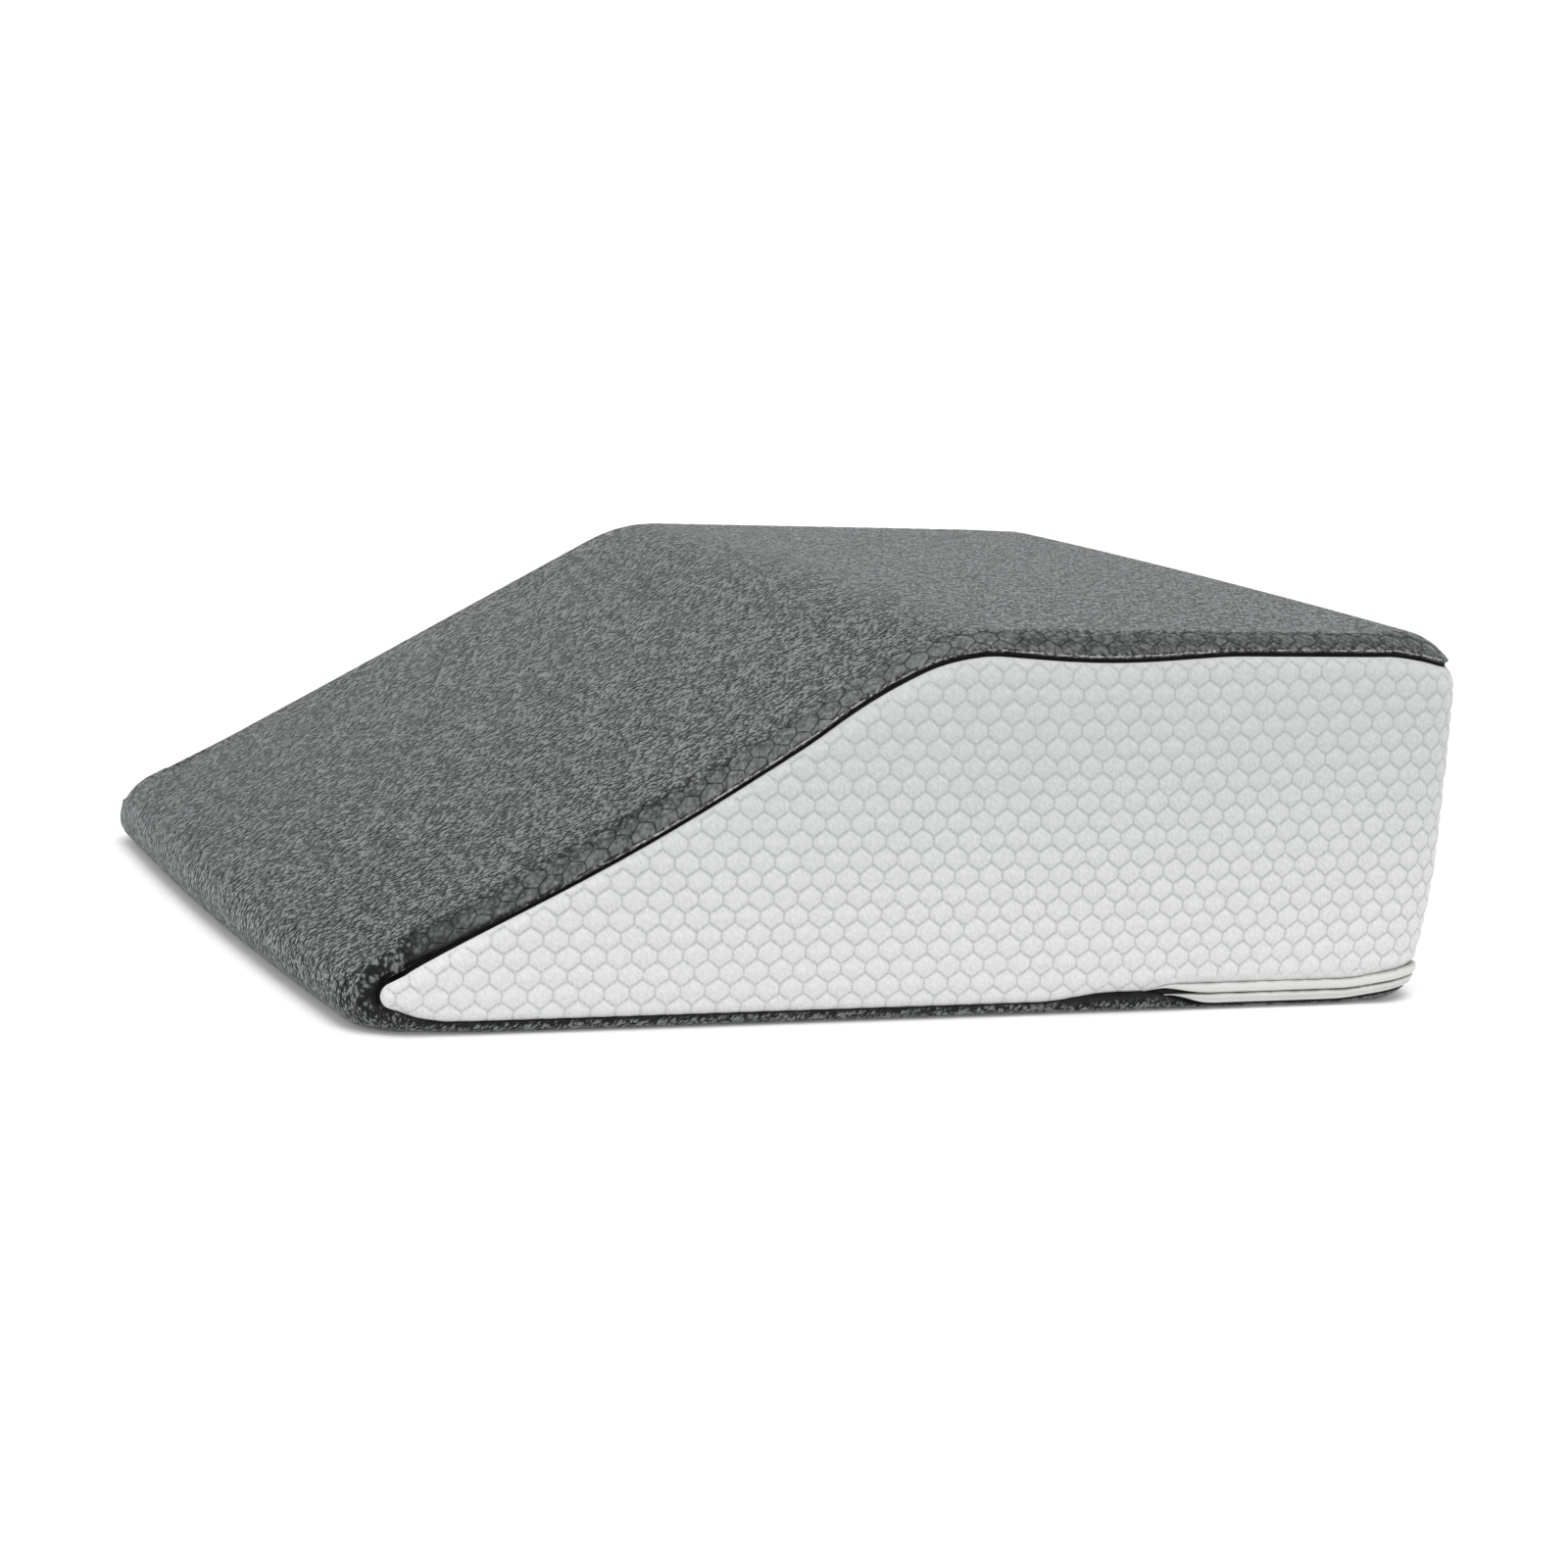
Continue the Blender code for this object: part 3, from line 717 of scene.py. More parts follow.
def push_out(mesh: bpy.types.Mesh, amounts: Array) -> None:
    """Moves each vertex along its normal.

    Args:
        mesh: the mesh.
        amounts: how far each vertex moves.
    """
    count = len(mesh.vertices)
    points, normals = np.zeros(count * 3), np.zeros(count * 3)
    mesh.vertices.foreach_get("co", points)
    mesh.vertex_normals.foreach_get("vector", normals)
    moved = points.reshape(-1, 3) + normals.reshape(-1, 3) * amounts[:, None]
    mesh.vertices.foreach_set("co", moved.ravel())
    mesh.update()


def link(name: str, data: Any) -> bpy.types.Object:
    """Adds an object that holds this mesh, light or camera to the scene.

    Args:
        name: the object's name.
        data: what it holds.

    Returns:
        The object.
    """
    made = bpy.data.objects.new(name, data)
    bpy.context.scene.collection.objects.link(made)
    return made


def place(name: str, mesh: bpy.types.Mesh, material: bpy.types.Material) -> bpy.types.Object:
    """Links a finished mesh as a piece.

    Args:
        name: the piece's name.
        mesh: its mesh, with its place in its vertices.
        material: its finish.

    Returns:
        The piece.
    """
    mesh.materials.clear()
    mesh.materials.append(material)
    return link(name, mesh)


def flat_triangles(border: Array, inner: Array) -> tuple[Array, list[list[int]], Array]:
    """Triangles of a flat pattern.

    Args:
        border: the closed outline's points, in order.
        inner: points inside it.

    Returns:
        All points, the triangles, and the index of each point of the border.
    """
    count = len(border)
    coords = [Vector(p) for p in np.concatenate([border, inner]).tolist()]
    edges = [(i, (i + 1) % count) for i in range(count)]
    verts, _, faces, origins, _, _ = delaunay_2d_cdt(
        coords, edges, [list(range(count))], 1, 1e-7)
    index = np.zeros(count, int)
    for new, old in enumerate(origins):
        for i in old:
            if i < count:
                index[i] = new
    return np.array([tuple(v) for v in verts]), faces, index


Linkable = Union["Wire", float, int, tuple, str]


class Wire:
    """One output of a shader node, used in Python expressions that add Math nodes."""

    def __init__(self, tree: "ShaderTree", socket: bpy.types.NodeSocket) -> None:
        """Keeps the tree and the socket."""
        self.tree = tree
        self.socket = socket

    def _math(self, operation: str, *values: Linkable) -> "Wire":
        """Adds one Math node for these values."""
        inputs = dict(enumerate(values))
        return self.tree.node("ShaderNodeMath", {"operation": operation}, inputs)

    def __add__(self, other: Linkable) -> "Wire":
        """This plus other."""
        return self._math("ADD", self, other)

    __radd__ = __add__

    def __sub__(self, other: Linkable) -> "Wire":
        """This less other."""
        return self._math("SUBTRACT", self, other)

    def __rsub__(self, other: Linkable) -> "Wire":
        """Other less this."""
        return self._math("SUBTRACT", other, self)

    def __mul__(self, other: Linkable) -> "Wire":
        """This times other."""
        return self._math("MULTIPLY", self, other)

    __rmul__ = __mul__

    def __truediv__(self, other: Linkable) -> "Wire":
        """This divided by other."""
        return self._math("DIVIDE", self, other)

    def __rtruediv__(self, other: Linkable) -> "Wire":
        """Other divided by this."""
        return self._math("DIVIDE", other, self)

    def __neg__(self) -> "Wire":
        """This with its sign turned."""
        return self._math("MULTIPLY", self, -1.0)

    def __abs__(self) -> "Wire":
        """This without its sign."""
        return self._math("ABSOLUTE", self)

    def __pow__(self, other: Linkable) -> "Wire":
        """This to a power."""
        return self._math("POWER", self, other)

    def __mod__(self, other: Linkable) -> "Wire":
        """This modulo other, never below 0."""
        return self._math("FLOORED_MODULO", self, other)

    def least(self, other: Linkable) -> "Wire":
        """The smaller of the two."""
        return self._math("MINIMUM", self, other)

    def most(self, other: Linkable) -> "Wire":
        """The larger of the two."""
        return self._math("MAXIMUM", self, other)

    def blend(self, low: float, high: float) -> "Wire":
        """Goes from 0 at low to 1 at high with level ends."""
        return self.tree.node("ShaderNodeMapRange", {"interpolation_type": "SMOOTHSTEP"},
                              {"Value": self, "From Min": low, "From Max": high})


class ShaderTree:
    """The node tree of one material or of the world."""

    def __init__(self, owner: Union[bpy.types.Material, bpy.types.World]) -> None:
        """Empties the owner's tree."""
        owner.use_nodes = True
        self.tree = owner.node_tree
        self.tree.nodes.clear()

    def node(self, kind: str, settings: Optional[dict[str, Any]] = None,
             inputs: Optional[dict[Union[str, int], Linkable]] = None,
             output: Union[str, int] = 0) -> Wire:
        """Adds any node.

        Args:
            kind: the node's type.
            settings: its settings, set before anything else. "stops" is a ramp's list of
                (place, colour).
            inputs: numbers, colours or wires for its sockets, by name or index.
            output: the output that the wire stands for.

        Returns:
            A wire from that output.
        """
        made = self.tree.nodes.new(kind)
        for name, value in (settings or {}).items():
            if name == "stops":
                ramp = made.color_ramp
                while len(ramp.elements) < len(value):
                    ramp.elements.new(0.5)
                for element, (at, color) in zip(ramp.elements, value):
                    element.position = at
                    element.color = (*color, 1.0)
            else:
                setattr(made, name, value)
        for name, value in (inputs or {}).items():
            socket = made.inputs[name]
            if isinstance(value, Wire):
                self.tree.links.new(value.socket, socket)
            else:
                socket.default_value = value
        return Wire(self, made.outputs[output] if len(made.outputs) else None)

    def mix(self, factor: Linkable, first: Linkable, second: Linkable) -> Wire:
        """Blends two colours.

        Args:
            factor: 0 gives the first, 1 the second.
            first: a colour or a wire.
            second: a colour or a wire.

        Returns:
            The blended colour.
        """
        def colour(value: Linkable) -> Linkable:
            """Gives a plain colour its alpha."""
            return value if isinstance(value, Wire) else (*value, 1.0)

        return self.node("ShaderNodeMix", {"data_type": "RGBA"},
                         {0: factor, 6: colour(first), 7: colour(second)}, 2)

    def axis(self, vector: Linkable, number: int) -> Wire:
        """One coordinate of a vector: 0 for X, 1 for Y, 2 for Z."""
        return self.node("ShaderNodeSeparateXYZ", None, {0: vector}, number)

    def coordinates(self, kind: str) -> Wire:
        """Texture coordinates of one kind."""
        return self.node("ShaderNodeTexCoord", None, None, kind)

    def cloth_uv(self) -> tuple[Wire, Wire]:
        """The piece's UV map as two numbers, in metres of cloth."""
        uv = self.node("ShaderNodeUVMap", {"uv_map": "cloth"})
        return self.axis(uv, 0), self.axis(uv, 1)

    def attribute(self, name: str) -> Wire:
        """A number that the mesh holds for each vertex."""
        return self.node("ShaderNodeAttribute", {"attribute_name": name}, None, "Fac")

    def noise(self, vector: Linkable, scale: float, detail: float = 2.0,
              roughness: float = 0.5, distortion: float = 0.0) -> Wire:
        """A noise texture's value, near 0.5 on average.

        Args:
            vector: where the noise is read.
            scale: how fine it is.
            detail: how many finer layers it has.
            roughness: how strong those are.
            distortion: how much it swirls.

        Returns:
            The noise's value.
        """
        return self.node("ShaderNodeTexNoise", None,
                         {"Vector": vector, "Scale": scale, "Detail": detail,
                          "Roughness": roughness, "Distortion": distortion}, 0)

    def point(self, x: Linkable, y: Linkable, z: Linkable = 0.0) -> Wire:
        """Three numbers as one vector."""
        return self.node("ShaderNodeCombineXYZ", None, {0: x, 1: y, 2: z})

    def hexagons(self, u: Wire, v: Wire, quilting: HexQuilting) -> tuple[Wire, Wire]:
        """Distance to the quilting's upright and slanted sides.

        Args:
            u: places along the rows.
            v: places across the rows.
            quilting: the pattern's sizes.

        Returns:
            The distance to the nearest upright side and to the nearest slanted side.
        """
        half, slope = quilting.across / 2, math.hypot(quilting.across / 2, quilting.peak)
        pairs = []
        for shift in (0, 1):
            period_u, period_v = quilting.across, 2 * quilting.row
            start_u = quilting.origin_u + shift * half - period_u / 2
            start_v = quilting.origin_v + shift * quilting.row - period_v / 2
            du = abs((u - start_u) % period_u - period_u / 2)
            dv = abs((v - start_v) % period_v - period_v / 2)
            limit = half * (quilting.upright / 2 + quilting.peak) / slope
            slanted = limit - du * (quilting.peak / slope) - dv * (half / slope)
            pairs.append((half - du, slanted))
        (upright_a, slanted_a), (upright_b, slanted_b) = pairs
        inside_b = (upright_b.least(slanted_b)).blend(-1e-6, 1e-6)
        upright = upright_a + (upright_b - upright_a) * inside_b
        slanted = slanted_a + (slanted_b - slanted_a) * inside_b
        return abs(upright), abs(slanted)


class Finish:
    """What all finishes share: a material with one Principled shader."""

    name: str = "finish"
    # Painted shade: the dark shader's colour, mixed in where folds and seams get hardly any light.
    painted_shade_color: tuple[float, float, float, float] = (0.006, 0.006, 0.007, 1.0)

    def open(self) -> tuple[bpy.types.Material, ShaderTree]:
        """Makes the material and its empty tree."""
        material = bpy.data.materials.new(self.name)
        return material, ShaderTree(material)

    def close(self, tree: ShaderTree, sockets: dict[str, Linkable],
              height: Optional[Wire] = None, strength: float = 1.0,
              distance: float = 0.001, shade: Optional[Wire] = None) -> None:
        """Adds the shader, its bump, the painted shade and the output.

        Args:
            tree: the material's tree.
            sockets: numbers, colours and wires for the shader.
            height: what the bump follows, from 0 to 1.
            strength: how strong the bump is.
            distance: how high the bump is, in metres.
            shade: where painted shade stands for a fold that hardly any light reaches, from 0 to
                1.
        """
        if height is not None:
            sockets = dict(sockets)
            sockets["Normal"] = tree.node(
                "ShaderNodeBump", None,
                {"Strength": strength, "Distance": distance, "Height": height})
        shader = tree.node("ShaderNodeBsdfPrincipled", None, sockets)
        # Painted shade: a dark shader without sheen is mixed in by the shade mask.
        if shade is not None:
            dark = tree.node("ShaderNodeBsdfPrincipled", None, {
                "Base Color": self.painted_shade_color, "Roughness": 1.0, "Specular IOR Level": 0.0})
            shader = tree.node("ShaderNodeMixShader", None, {0: shade, 1: shader, 2: dark})
        tree.node("ShaderNodeOutputMaterial", None, {"Surface": shader})


@dataclass(frozen=True)
class GreyKnit(Finish):
    """Grey knitted cloth whose loops have tones of their own, quilted in hexagons, with painted
    shade on the ramp, the nose, the grooves and the folds, and painted light on the band by the
    seam.
    """

    quilting: HexQuilting
    name: str = "grey_knit"
    dark: tuple[float, float, float] = (0.017, 0.0179, 0.0182)
    middle: tuple[float, float, float] = (0.051, 0.053, 0.0537)
    light: tuple[float, float, float] = (0.205, 0.2115, 0.2135)
    loop_length: float = 0.0028
    loop_width: float = 0.0028
    loop_share: float = 0.95
    loop_slant: float = math.radians(-26)
    fine_share: float = 0.62
    fine_slant: float = math.radians(38)
    warp: float = 0.9
    tone_weight: float = 1.06
    fine_tone_weight: float = 0.70
    round_weight: float = 0.76
    clump_weight: float = 0.75
    nap_weight: float = 3.0
    # Painted shade: the ramp darker than the level top, and darker still towards the nose.
    painted_slope_shade: float = 0.080
    painted_nose_shade: float = 0.085
    # Painted shade: how much darker the yarn is under the mask of painted shade round the white
    # tip and along the seams.
    painted_shade_darkening: float = 0.20
    slope_range: tuple[float, float] = (-0.340, -0.080)
    band_calm: float = 0.86
    pocket_calm: float = 0.92
    # Painted light: the rolled band beside the seam, which faces away from the light, is made
    # lighter, less so on the level top.
    painted_band_light: float = 0.25
    painted_band_light_less_on_top: float = 0.17
    stops: tuple[float, float, float] = (0.20, 0.50, 0.82)
    line_most: float = 0.70
    bump_strength: float = 0.8
    bump_height: float = 0.0020
    groove: float = 0.0006
    nap_blend: float = 0.015
    nap_start: float = 0.030
    nap_turn: float = math.radians(22.6)
    sheen: float = 0.64
    sheen_roughness: float = 0.25
    sheen_tint: tuple[float, float, float, float] = (0.84, 0.88, 0.89, 1.0)

    def loops(self, tree: ShaderTree, u: Wire, v: Wire, share: float, slant: float,
              seed: float) -> tuple[Wire, Wire]:
        """One layer of loops.

        Args:
            tree: the material's tree.
            u: cloth places along the length.
            v: cloth places across the width.
            share: size of the loops next to the knit's own.
            slant: how far the loops are turned, in radians.
            seed: shifts the layer, so that two of them differ.

        Returns:
            Each loop's tone from 0 to 1, and its rounded height from 0 to 1.
        """
        cos, sin = math.cos(slant), math.sin(slant)
        along = (u * cos + v * sin) * (1 / (self.loop_length * share))
        across = (v * cos - u * sin) * (1 / (self.loop_width * share))
        bend = tree.noise(tree.point(along * 0.6, across * 0.35, seed), 1.0, 1.0)
        turn = tree.noise(tree.point(along * 0.6, across * 0.35, seed + 5), 1.0, 1.0)
        spot = tree.point(along + (turn - 0.5) * self.warp, across + (bend - 0.5) * self.warp)
        cells = tree.node("ShaderNodeTexVoronoi", {"voronoi_dimensions": "2D"},
                          {"Vector": spot, "Scale": 1.0, "Randomness": 0.9}, "Distance")
        tone = tree.axis(Wire(tree, cells.socket.node.outputs["Color"]), 0)
        return tone, 1 - cells.blend(0.05, 0.75)

    def build(self) -> bpy.types.Material:
        """Makes the material.

        Returns:
            The material.
        """
        material, tree = self.open()
        u, v = tree.cloth_uv()
        tone, round_loop = self.loops(tree, u, v, self.loop_share, self.loop_slant, 1.0)
        fine_tone, fine_loop = self.loops(tree, u, v, self.fine_share, self.fine_slant, 3.0)
        clumps = tree.noise(tree.point(u * 170, v * 120, 3.0), 1.0, 2.0, 0.6)
        cos, sin = math.cos(self.nap_turn), math.sin(self.nap_turn)
        nap = tree.noise(tree.point((u * cos - v * sin) * 520, (u * sin + v * cos) * 130, 9.0),
                         1.0, 1.0)
        level = u.blend(self.nap_start - self.nap_blend, self.nap_start + self.nap_blend)
        near_seam = tree.attribute("near_seam")
        # Mask of painted shade round the white tip, beside the seams and in the tuck under the
        # white.
        pocket = tree.attribute("pocket")
        calm = 1 - (near_seam * 1.25).least(1.0) * self.band_calm
        calm = calm * (1 - (pocket * 2.2).least(1.0) * self.pocket_calm)
        # Painted light: the band beside the seam made lighter, less so on the level top.
        lift = self.painted_band_light - level * self.painted_band_light_less_on_top
        painted_band_light_tone = near_seam.least(1.0) * lift
        # Painted shade: the yarn's tone darker on the ramp, and darker still towards the nose.
        painted_ramp_shade = ((level - 1) * self.painted_slope_shade
                      + (u.blend(*self.slope_range) - 1) * self.painted_nose_shade)
        level = level * (1 - (near_seam * 2.5).least(1.0))
        yarn = (nap - 0.5) * level * self.nap_weight
        for part, weight in ((tone, self.tone_weight), (fine_tone, self.fine_tone_weight),
                             (round_loop, self.round_weight), (clumps, self.clump_weight)):
            yarn = yarn + (part - 0.5) * weight
        yarn = yarn * calm + painted_band_light_tone + painted_ramp_shade - pocket * self.painted_shade_darkening + 0.5
        stops = list(zip(self.stops, (self.dark, self.middle, self.light)))
        color = tree.node("ShaderNodeValToRGB", {"stops": stops}, {"Fac": yarn})
        upright, slanted = tree.hexagons(u, abs(v), self.quilting)
        distance = upright.least(slanted)
        broken = tree.noise(tree.point(u * 420, v * 420, 8.0), 1.0, 1.0).blend(0.30, 0.60)
        # Painted shade: dark lines in the quilting's grooves near the seam.
        line = 1 - distance.blend(self.groove * 0.25, self.groove * 1.2)
        shown = (near_seam * (clumps * 1.2 + 0.40)).least(self.line_most)
        line = line * shown * (broken * 0.3 + 0.75)
        dome = distance.blend(0.0, self.quilting.widest * 0.6)
        height = ((round_loop * 0.34 + tone * 0.14 + fine_loop * 0.22) * calm
                  + dome * (near_seam * 0.24 + 0.02))
        # The groove lines and the mask of painted shade both mix in the dark shader.
        self.close(tree, {"Base Color": color, "Roughness": 0.95,
                          "Specular IOR Level": 0.10, "Sheen Weight": self.sheen,
                          "Sheen Roughness": self.sheen_roughness,
                          "Sheen Tint": self.sheen_tint}, height, self.bump_strength,
                   self.bump_height, line.most(pocket).least(1.0))
        return material


@dataclass(frozen=True)
class WhiteQuilt(Finish):
    """White knitted cloth, quilted in hexagons with grey thread, with painted shade in the grooves
    and towards the top.
    """

    quilting: HexQuilting
    name: str = "white_quilt"
    color: tuple[float, float, float] = (0.690, 0.697, 0.689)
    # Painted shade: the darker colour that the cloth turns towards the top, also the dark end of
    # its grain and blotches.
    grain_and_upper_shade_color: tuple[float, float, float] = (0.485, 0.497, 0.497)
    # Painted shade in the quilting's grooves.
    groove_shade_color: tuple[float, float, float] = (0.38, 0.393, 0.398)
    groove: float = 0.0014
    groove_start_share: float = 0.15
    upright_faintness: float = 0.60

    def build(self) -> bpy.types.Material:
        """Makes the material.

        Returns:
            The material.
        """
        material, tree = self.open()
        u, v = tree.cloth_uv()
        ribs = tree.noise(tree.point((u + v * 0.5) * 700, v * 360), 1.0, 3.0, 0.65, 0.2)
        blotches = tree.noise(tree.point(u * 60, v * 80, 2.0), 1.0, 3.0, 0.6)
        upright, slanted = tree.hexagons(u, v, self.quilting)
        start = self.groove * self.groove_start_share
        soft = 1 - slanted.blend(start, self.groove)
        faint = (1 - upright.blend(start, self.groove)) * self.upright_faintness
        uneven = tree.noise(tree.point(u * 300, v * 300, 5.0), 1.0, 1.0).blend(0.30, 0.62)
        # Painted shade in the quilting's grooves: fainter on the upright sides, uneven, and
        # fainter towards the bottom.
        line = soft.most(faint) * (uneven * 0.35 + 0.25) * (v.blend(0.010, 0.080) * 0.35 + 0.65)
        edge = tree.attribute("near_edge")
        # Painted shade: the cloth darker towards the top, mixed with its ribs and blotches.
        upper_shade_and_grain = v.blend(0.015, 0.160) * 0.68 + (ribs.blend(0.30, 0.70) - 0.3) * 0.50
        color = tree.mix(blotches * 0.20 + upper_shade_and_grain, self.color, self.grain_and_upper_shade_color)
        color = tree.mix(line * (1 - edge), color, self.groove_shade_color)
        self.close(tree, {"Base Color": color, "Roughness": 0.82,
                          "Specular IOR Level": 0.25, "Sheen Weight": 0.25,
                          "Sheen Roughness": 0.5}, ribs * 0.8 + blotches * 0.2, 0.75, 0.0010)
        return material


@dataclass(frozen=True)
class StripCloth(Finish):
    """Plain off-white cloth of the zip strips, with painted shade where the cloth folds in."""

    name: str = "strip_cloth"
    color: tuple[float, float, float] = (0.620, 0.624, 0.604)
    weave_color: tuple[float, float, float] = (0.56, 0.56, 0.54)
    # Painted shade where the strip's cloth folds in.
    fold_shade_color: tuple[float, float, float] = (0.20, 0.185, 0.165)

    def build(self) -> bpy.types.Material:
        """Makes the material.

        Returns:
            The material.
        """
        material, tree = self.open()
        u, v = tree.cloth_uv()
        weave = tree.noise(tree.point(u * 900, v * 2200), 1.0, 2.0, 0.5)
        broken = tree.noise(tree.point(u * 110, v * 30, 9.0), 1.0, 3.0, 0.7).blend(0.34, 0.60)
        # Painted shade where the strip's cloth folds in, broken along its length.
        fold = tree.attribute("fold")
        color = tree.mix(fold * broken, self.color, self.fold_shade_color)
        color = tree.mix(weave * 0.2, color, self.weave_color)
        self.close(tree, {"Base Color": color, "Roughness": 0.75,
                          "Specular IOR Level": 0.3, "Sheen Weight": 0.2}, weave, 0.3, 0.0003)
        return material


@dataclass(frozen=True)
class Thread(Finish):
    """Sewing thread or a folded lip of cloth in one colour, with fine fibres."""

    name: str = "grey_thread"
    color: tuple[float, float, float] = (0.40, 0.415, 0.42)
    light: tuple[float, float, float] = (0.55, 0.56, 0.56)
    fibre: float = 1400.0

    def build(self) -> bpy.types.Material:
        """Makes the material.

        Returns:
            The material.
        """
        material, tree = self.open()
        fibres = tree.noise(tree.coordinates("Object"), self.fibre, 2.0, 0.6)
        color = tree.mix(fibres.blend(0.35, 0.65), self.color, self.light)
        self.close(tree, {"Base Color": color, "Roughness": 0.7,
                          "Specular IOR Level": 0.3}, fibres, 0.4, 0.0002)
        return material


@dataclass(frozen=True)
class PaleFloor(Finish):
    """The studio's plain pale floor."""

    name: str = "pale_floor"
    color: tuple[float, float, float] = (0.90, 0.90, 0.90)
    grain_color: tuple[float, float, float] = (0.88, 0.88, 0.88)
    glow: float = 0.11

    def build(self) -> bpy.types.Material:
        """Makes the material.

        Returns:
            The material.
        """
        material, tree = self.open()
        grain = tree.noise(tree.coordinates("Object"), 3.0, 1.0)
        color = tree.mix(grain * 0.02, self.color, self.grain_color)
        self.close(tree, {"Base Color": color, "Roughness": 0.9, "Specular IOR Level": 0.1,
                          "Emission Color": (1.0, 1.0, 1.0, 1.0),
                          "Emission Strength": self.glow})
        return material


@dataclass
class GreyCover:
    """The grey knitted cover over the foam: base, nose, ramp, ridge and top in one run."""

    form: WedgeForm
    seams: Seams
    quilting: HexQuilting
    nose_step: float = 0.0034
    arc_step: float = 0.0018
    column_step: float = 0.0024
    tip_step: float = 0.0012
    tip_ahead: float = 0.016
    tip_behind: float = 0.022
    base_rows: int = 6
    roll_rows: int = 17
    inner_step: float = 0.0036
    inner_margin_in_steps: float = 0.55
    base_step: float = 0.045
    base_margin: float = 0.034
    low_tuck: tuple[tuple[float, float], ...] = ((0.0, 0.28), (0.0006, 1.0))
    tuck_middles: tuple[float, ...] = (0.35, 0.65)
    top_tuck: tuple[tuple[float, float], ...] = (
        (-0.0006, 1.0), (0.0009, 0.92), (0.0018, 0.66), (0.0026, 0.22))
    corner_cap: float = 0.030
    tuck_depth: float = 0.0034
    seam_gap: float = 0.0036
    closed_half_gap: float = 0.0030
    base_gap: float = 0.0007
    middle_over_roll: float = 0.004
    tuck_opening: tuple[float, float] = (0.001, 0.006)
    cap_reach_in_radii: float = 2.2
    seam_lean: float = 0.88
    puff: float = 0.0004
    puff_reach: float = 0.048
    puff_fade: float = 1.6
    dome_base: float = 0.35
    ridge: Hump = Hump(0.0030, 0.0105, 0.0048)
    hollow: Hump = Hump(0.0034, 0.0035, 0.0062)
    # The humps named _shade set painted shade round the white tip, beside the seams and in the
    # tuck under the white.
    tip_shade: Hump = Hump(0.92, 0.0018, 0.0055)
    wide_shade: Hump = Hump(0.20, 0.004, 0.010)
    trail_shade: Hump = Hump(0.42, 0.0020, 0.0038)
    gap_shade: Hump = Hump(0.90, 0.0010, 0.0020)
    under_shade: Hump = Hump(0.90, 0.0, 0.0011)
    tuck_shade: Hump = Hump(0.80, -0.0008, 0.0060)
    tuck_along: Hump = Hump(1.0, 0.100, 0.060)
    far_share: float = 0.35
    far_share_reach: float = 0.060

    @property
    def seam_row(self) -> int:
        """The row where the grey cloth comes out of its seam with the white."""
        tuck = len(self.low_tuck) + len(self.tuck_middles) + len(self.top_tuck)
        return self.base_rows + tuck + 1

    def past_tip(self, s: Array, start: float, end: float) -> Array:
        """Goes from 0 to 1 between two distances s counted from the white tip."""
        return smooth(s, self.seams.tip_s + start, self.seams.tip_s + end)

    def stations(self) -> Array:
        """Distances s of the near half's columns, closer together round the white tip."""
        form, tip = self.form, self.seams.tip_s
        stops = (form.centre_nose_s, form.nose_flat_s, tip - self.tip_ahead,
                 tip + self.tip_behind, form.back_arc_s, form.back_flat_s, form.centre_back_s)
        steps = (self.nose_step, self.arc_step, self.tip_step, self.column_step,
                 self.arc_step, self.column_step)
        parts = [np.linspace(a, b, max(2, round((b - a) / step)) + 1)[:-1]
                 for a, b, step in zip(stops, stops[1:], steps)]
        return np.append(np.concatenate(parts), form.centre_back_s)

    def tip_distance(self, s: Array, z: Array) -> tuple[Array, Array]:
        """How far outside the white tip points are, and how strongly the tip pulls on them.

        Args:
            s: distances along the edge.
            z: heights.

        Returns:
            The distances and the strengths, from 0 to 1.
        """
        seams = self.seams
        round_tip = np.hypot(s - seams.tip_s, z - seams.tip_height) - seams.tip_radius
        above = (z - seams.top(s)) * self.seam_lean
        distance = round_tip + (above - round_tip) * self.past_tip(s, -0.001, 0.008)
        pull = self.past_tip(s, -0.034, -0.018) * (1 - self.past_tip(s, 0.004, 0.050))
        pull = pull * smooth(z, seams.tip_height - 0.012, seams.tip_height - 0.001)
        return distance, pull

    def rows(self, s: Array) -> tuple[Array, Array, Array]:
        """Heights, offsets and plan insets of the rows from the base up to the rolled edge.

        Args:
            s: distances of the columns.

        Returns:
            Arrays with one row for each row of the mesh and one column for each station.
        """
        form = self.form
        shape = form.edge_shape(s)
        low, top = self.seams.white_edges(s)
        low = np.where(s > self.seams.zip_start, self.seams.base(s), low)
        middle = np.minimum((low + top) / 2, shape.start_height + self.middle_over_roll)
        middle = np.where(s > self.seams.tip_s, (low + top) / 2, middle)
        open_height = np.where(s > self.seams.tip_s - self.seams.tip_radius, top - low, 0.0)
        deep = smooth(open_height, *self.tuck_opening)
        half = np.maximum(open_height / 2, self.closed_half_gap)
        low, top = middle - half, middle + half
        tucked = -self.tuck_depth * deep
        z_rows, offsets = [], []

        def row(z: Array, offset: Array) -> None:
            """Adds one row of points."""
            z_rows.append(z)
            offsets.append(np.broadcast_to(offset, s.shape))

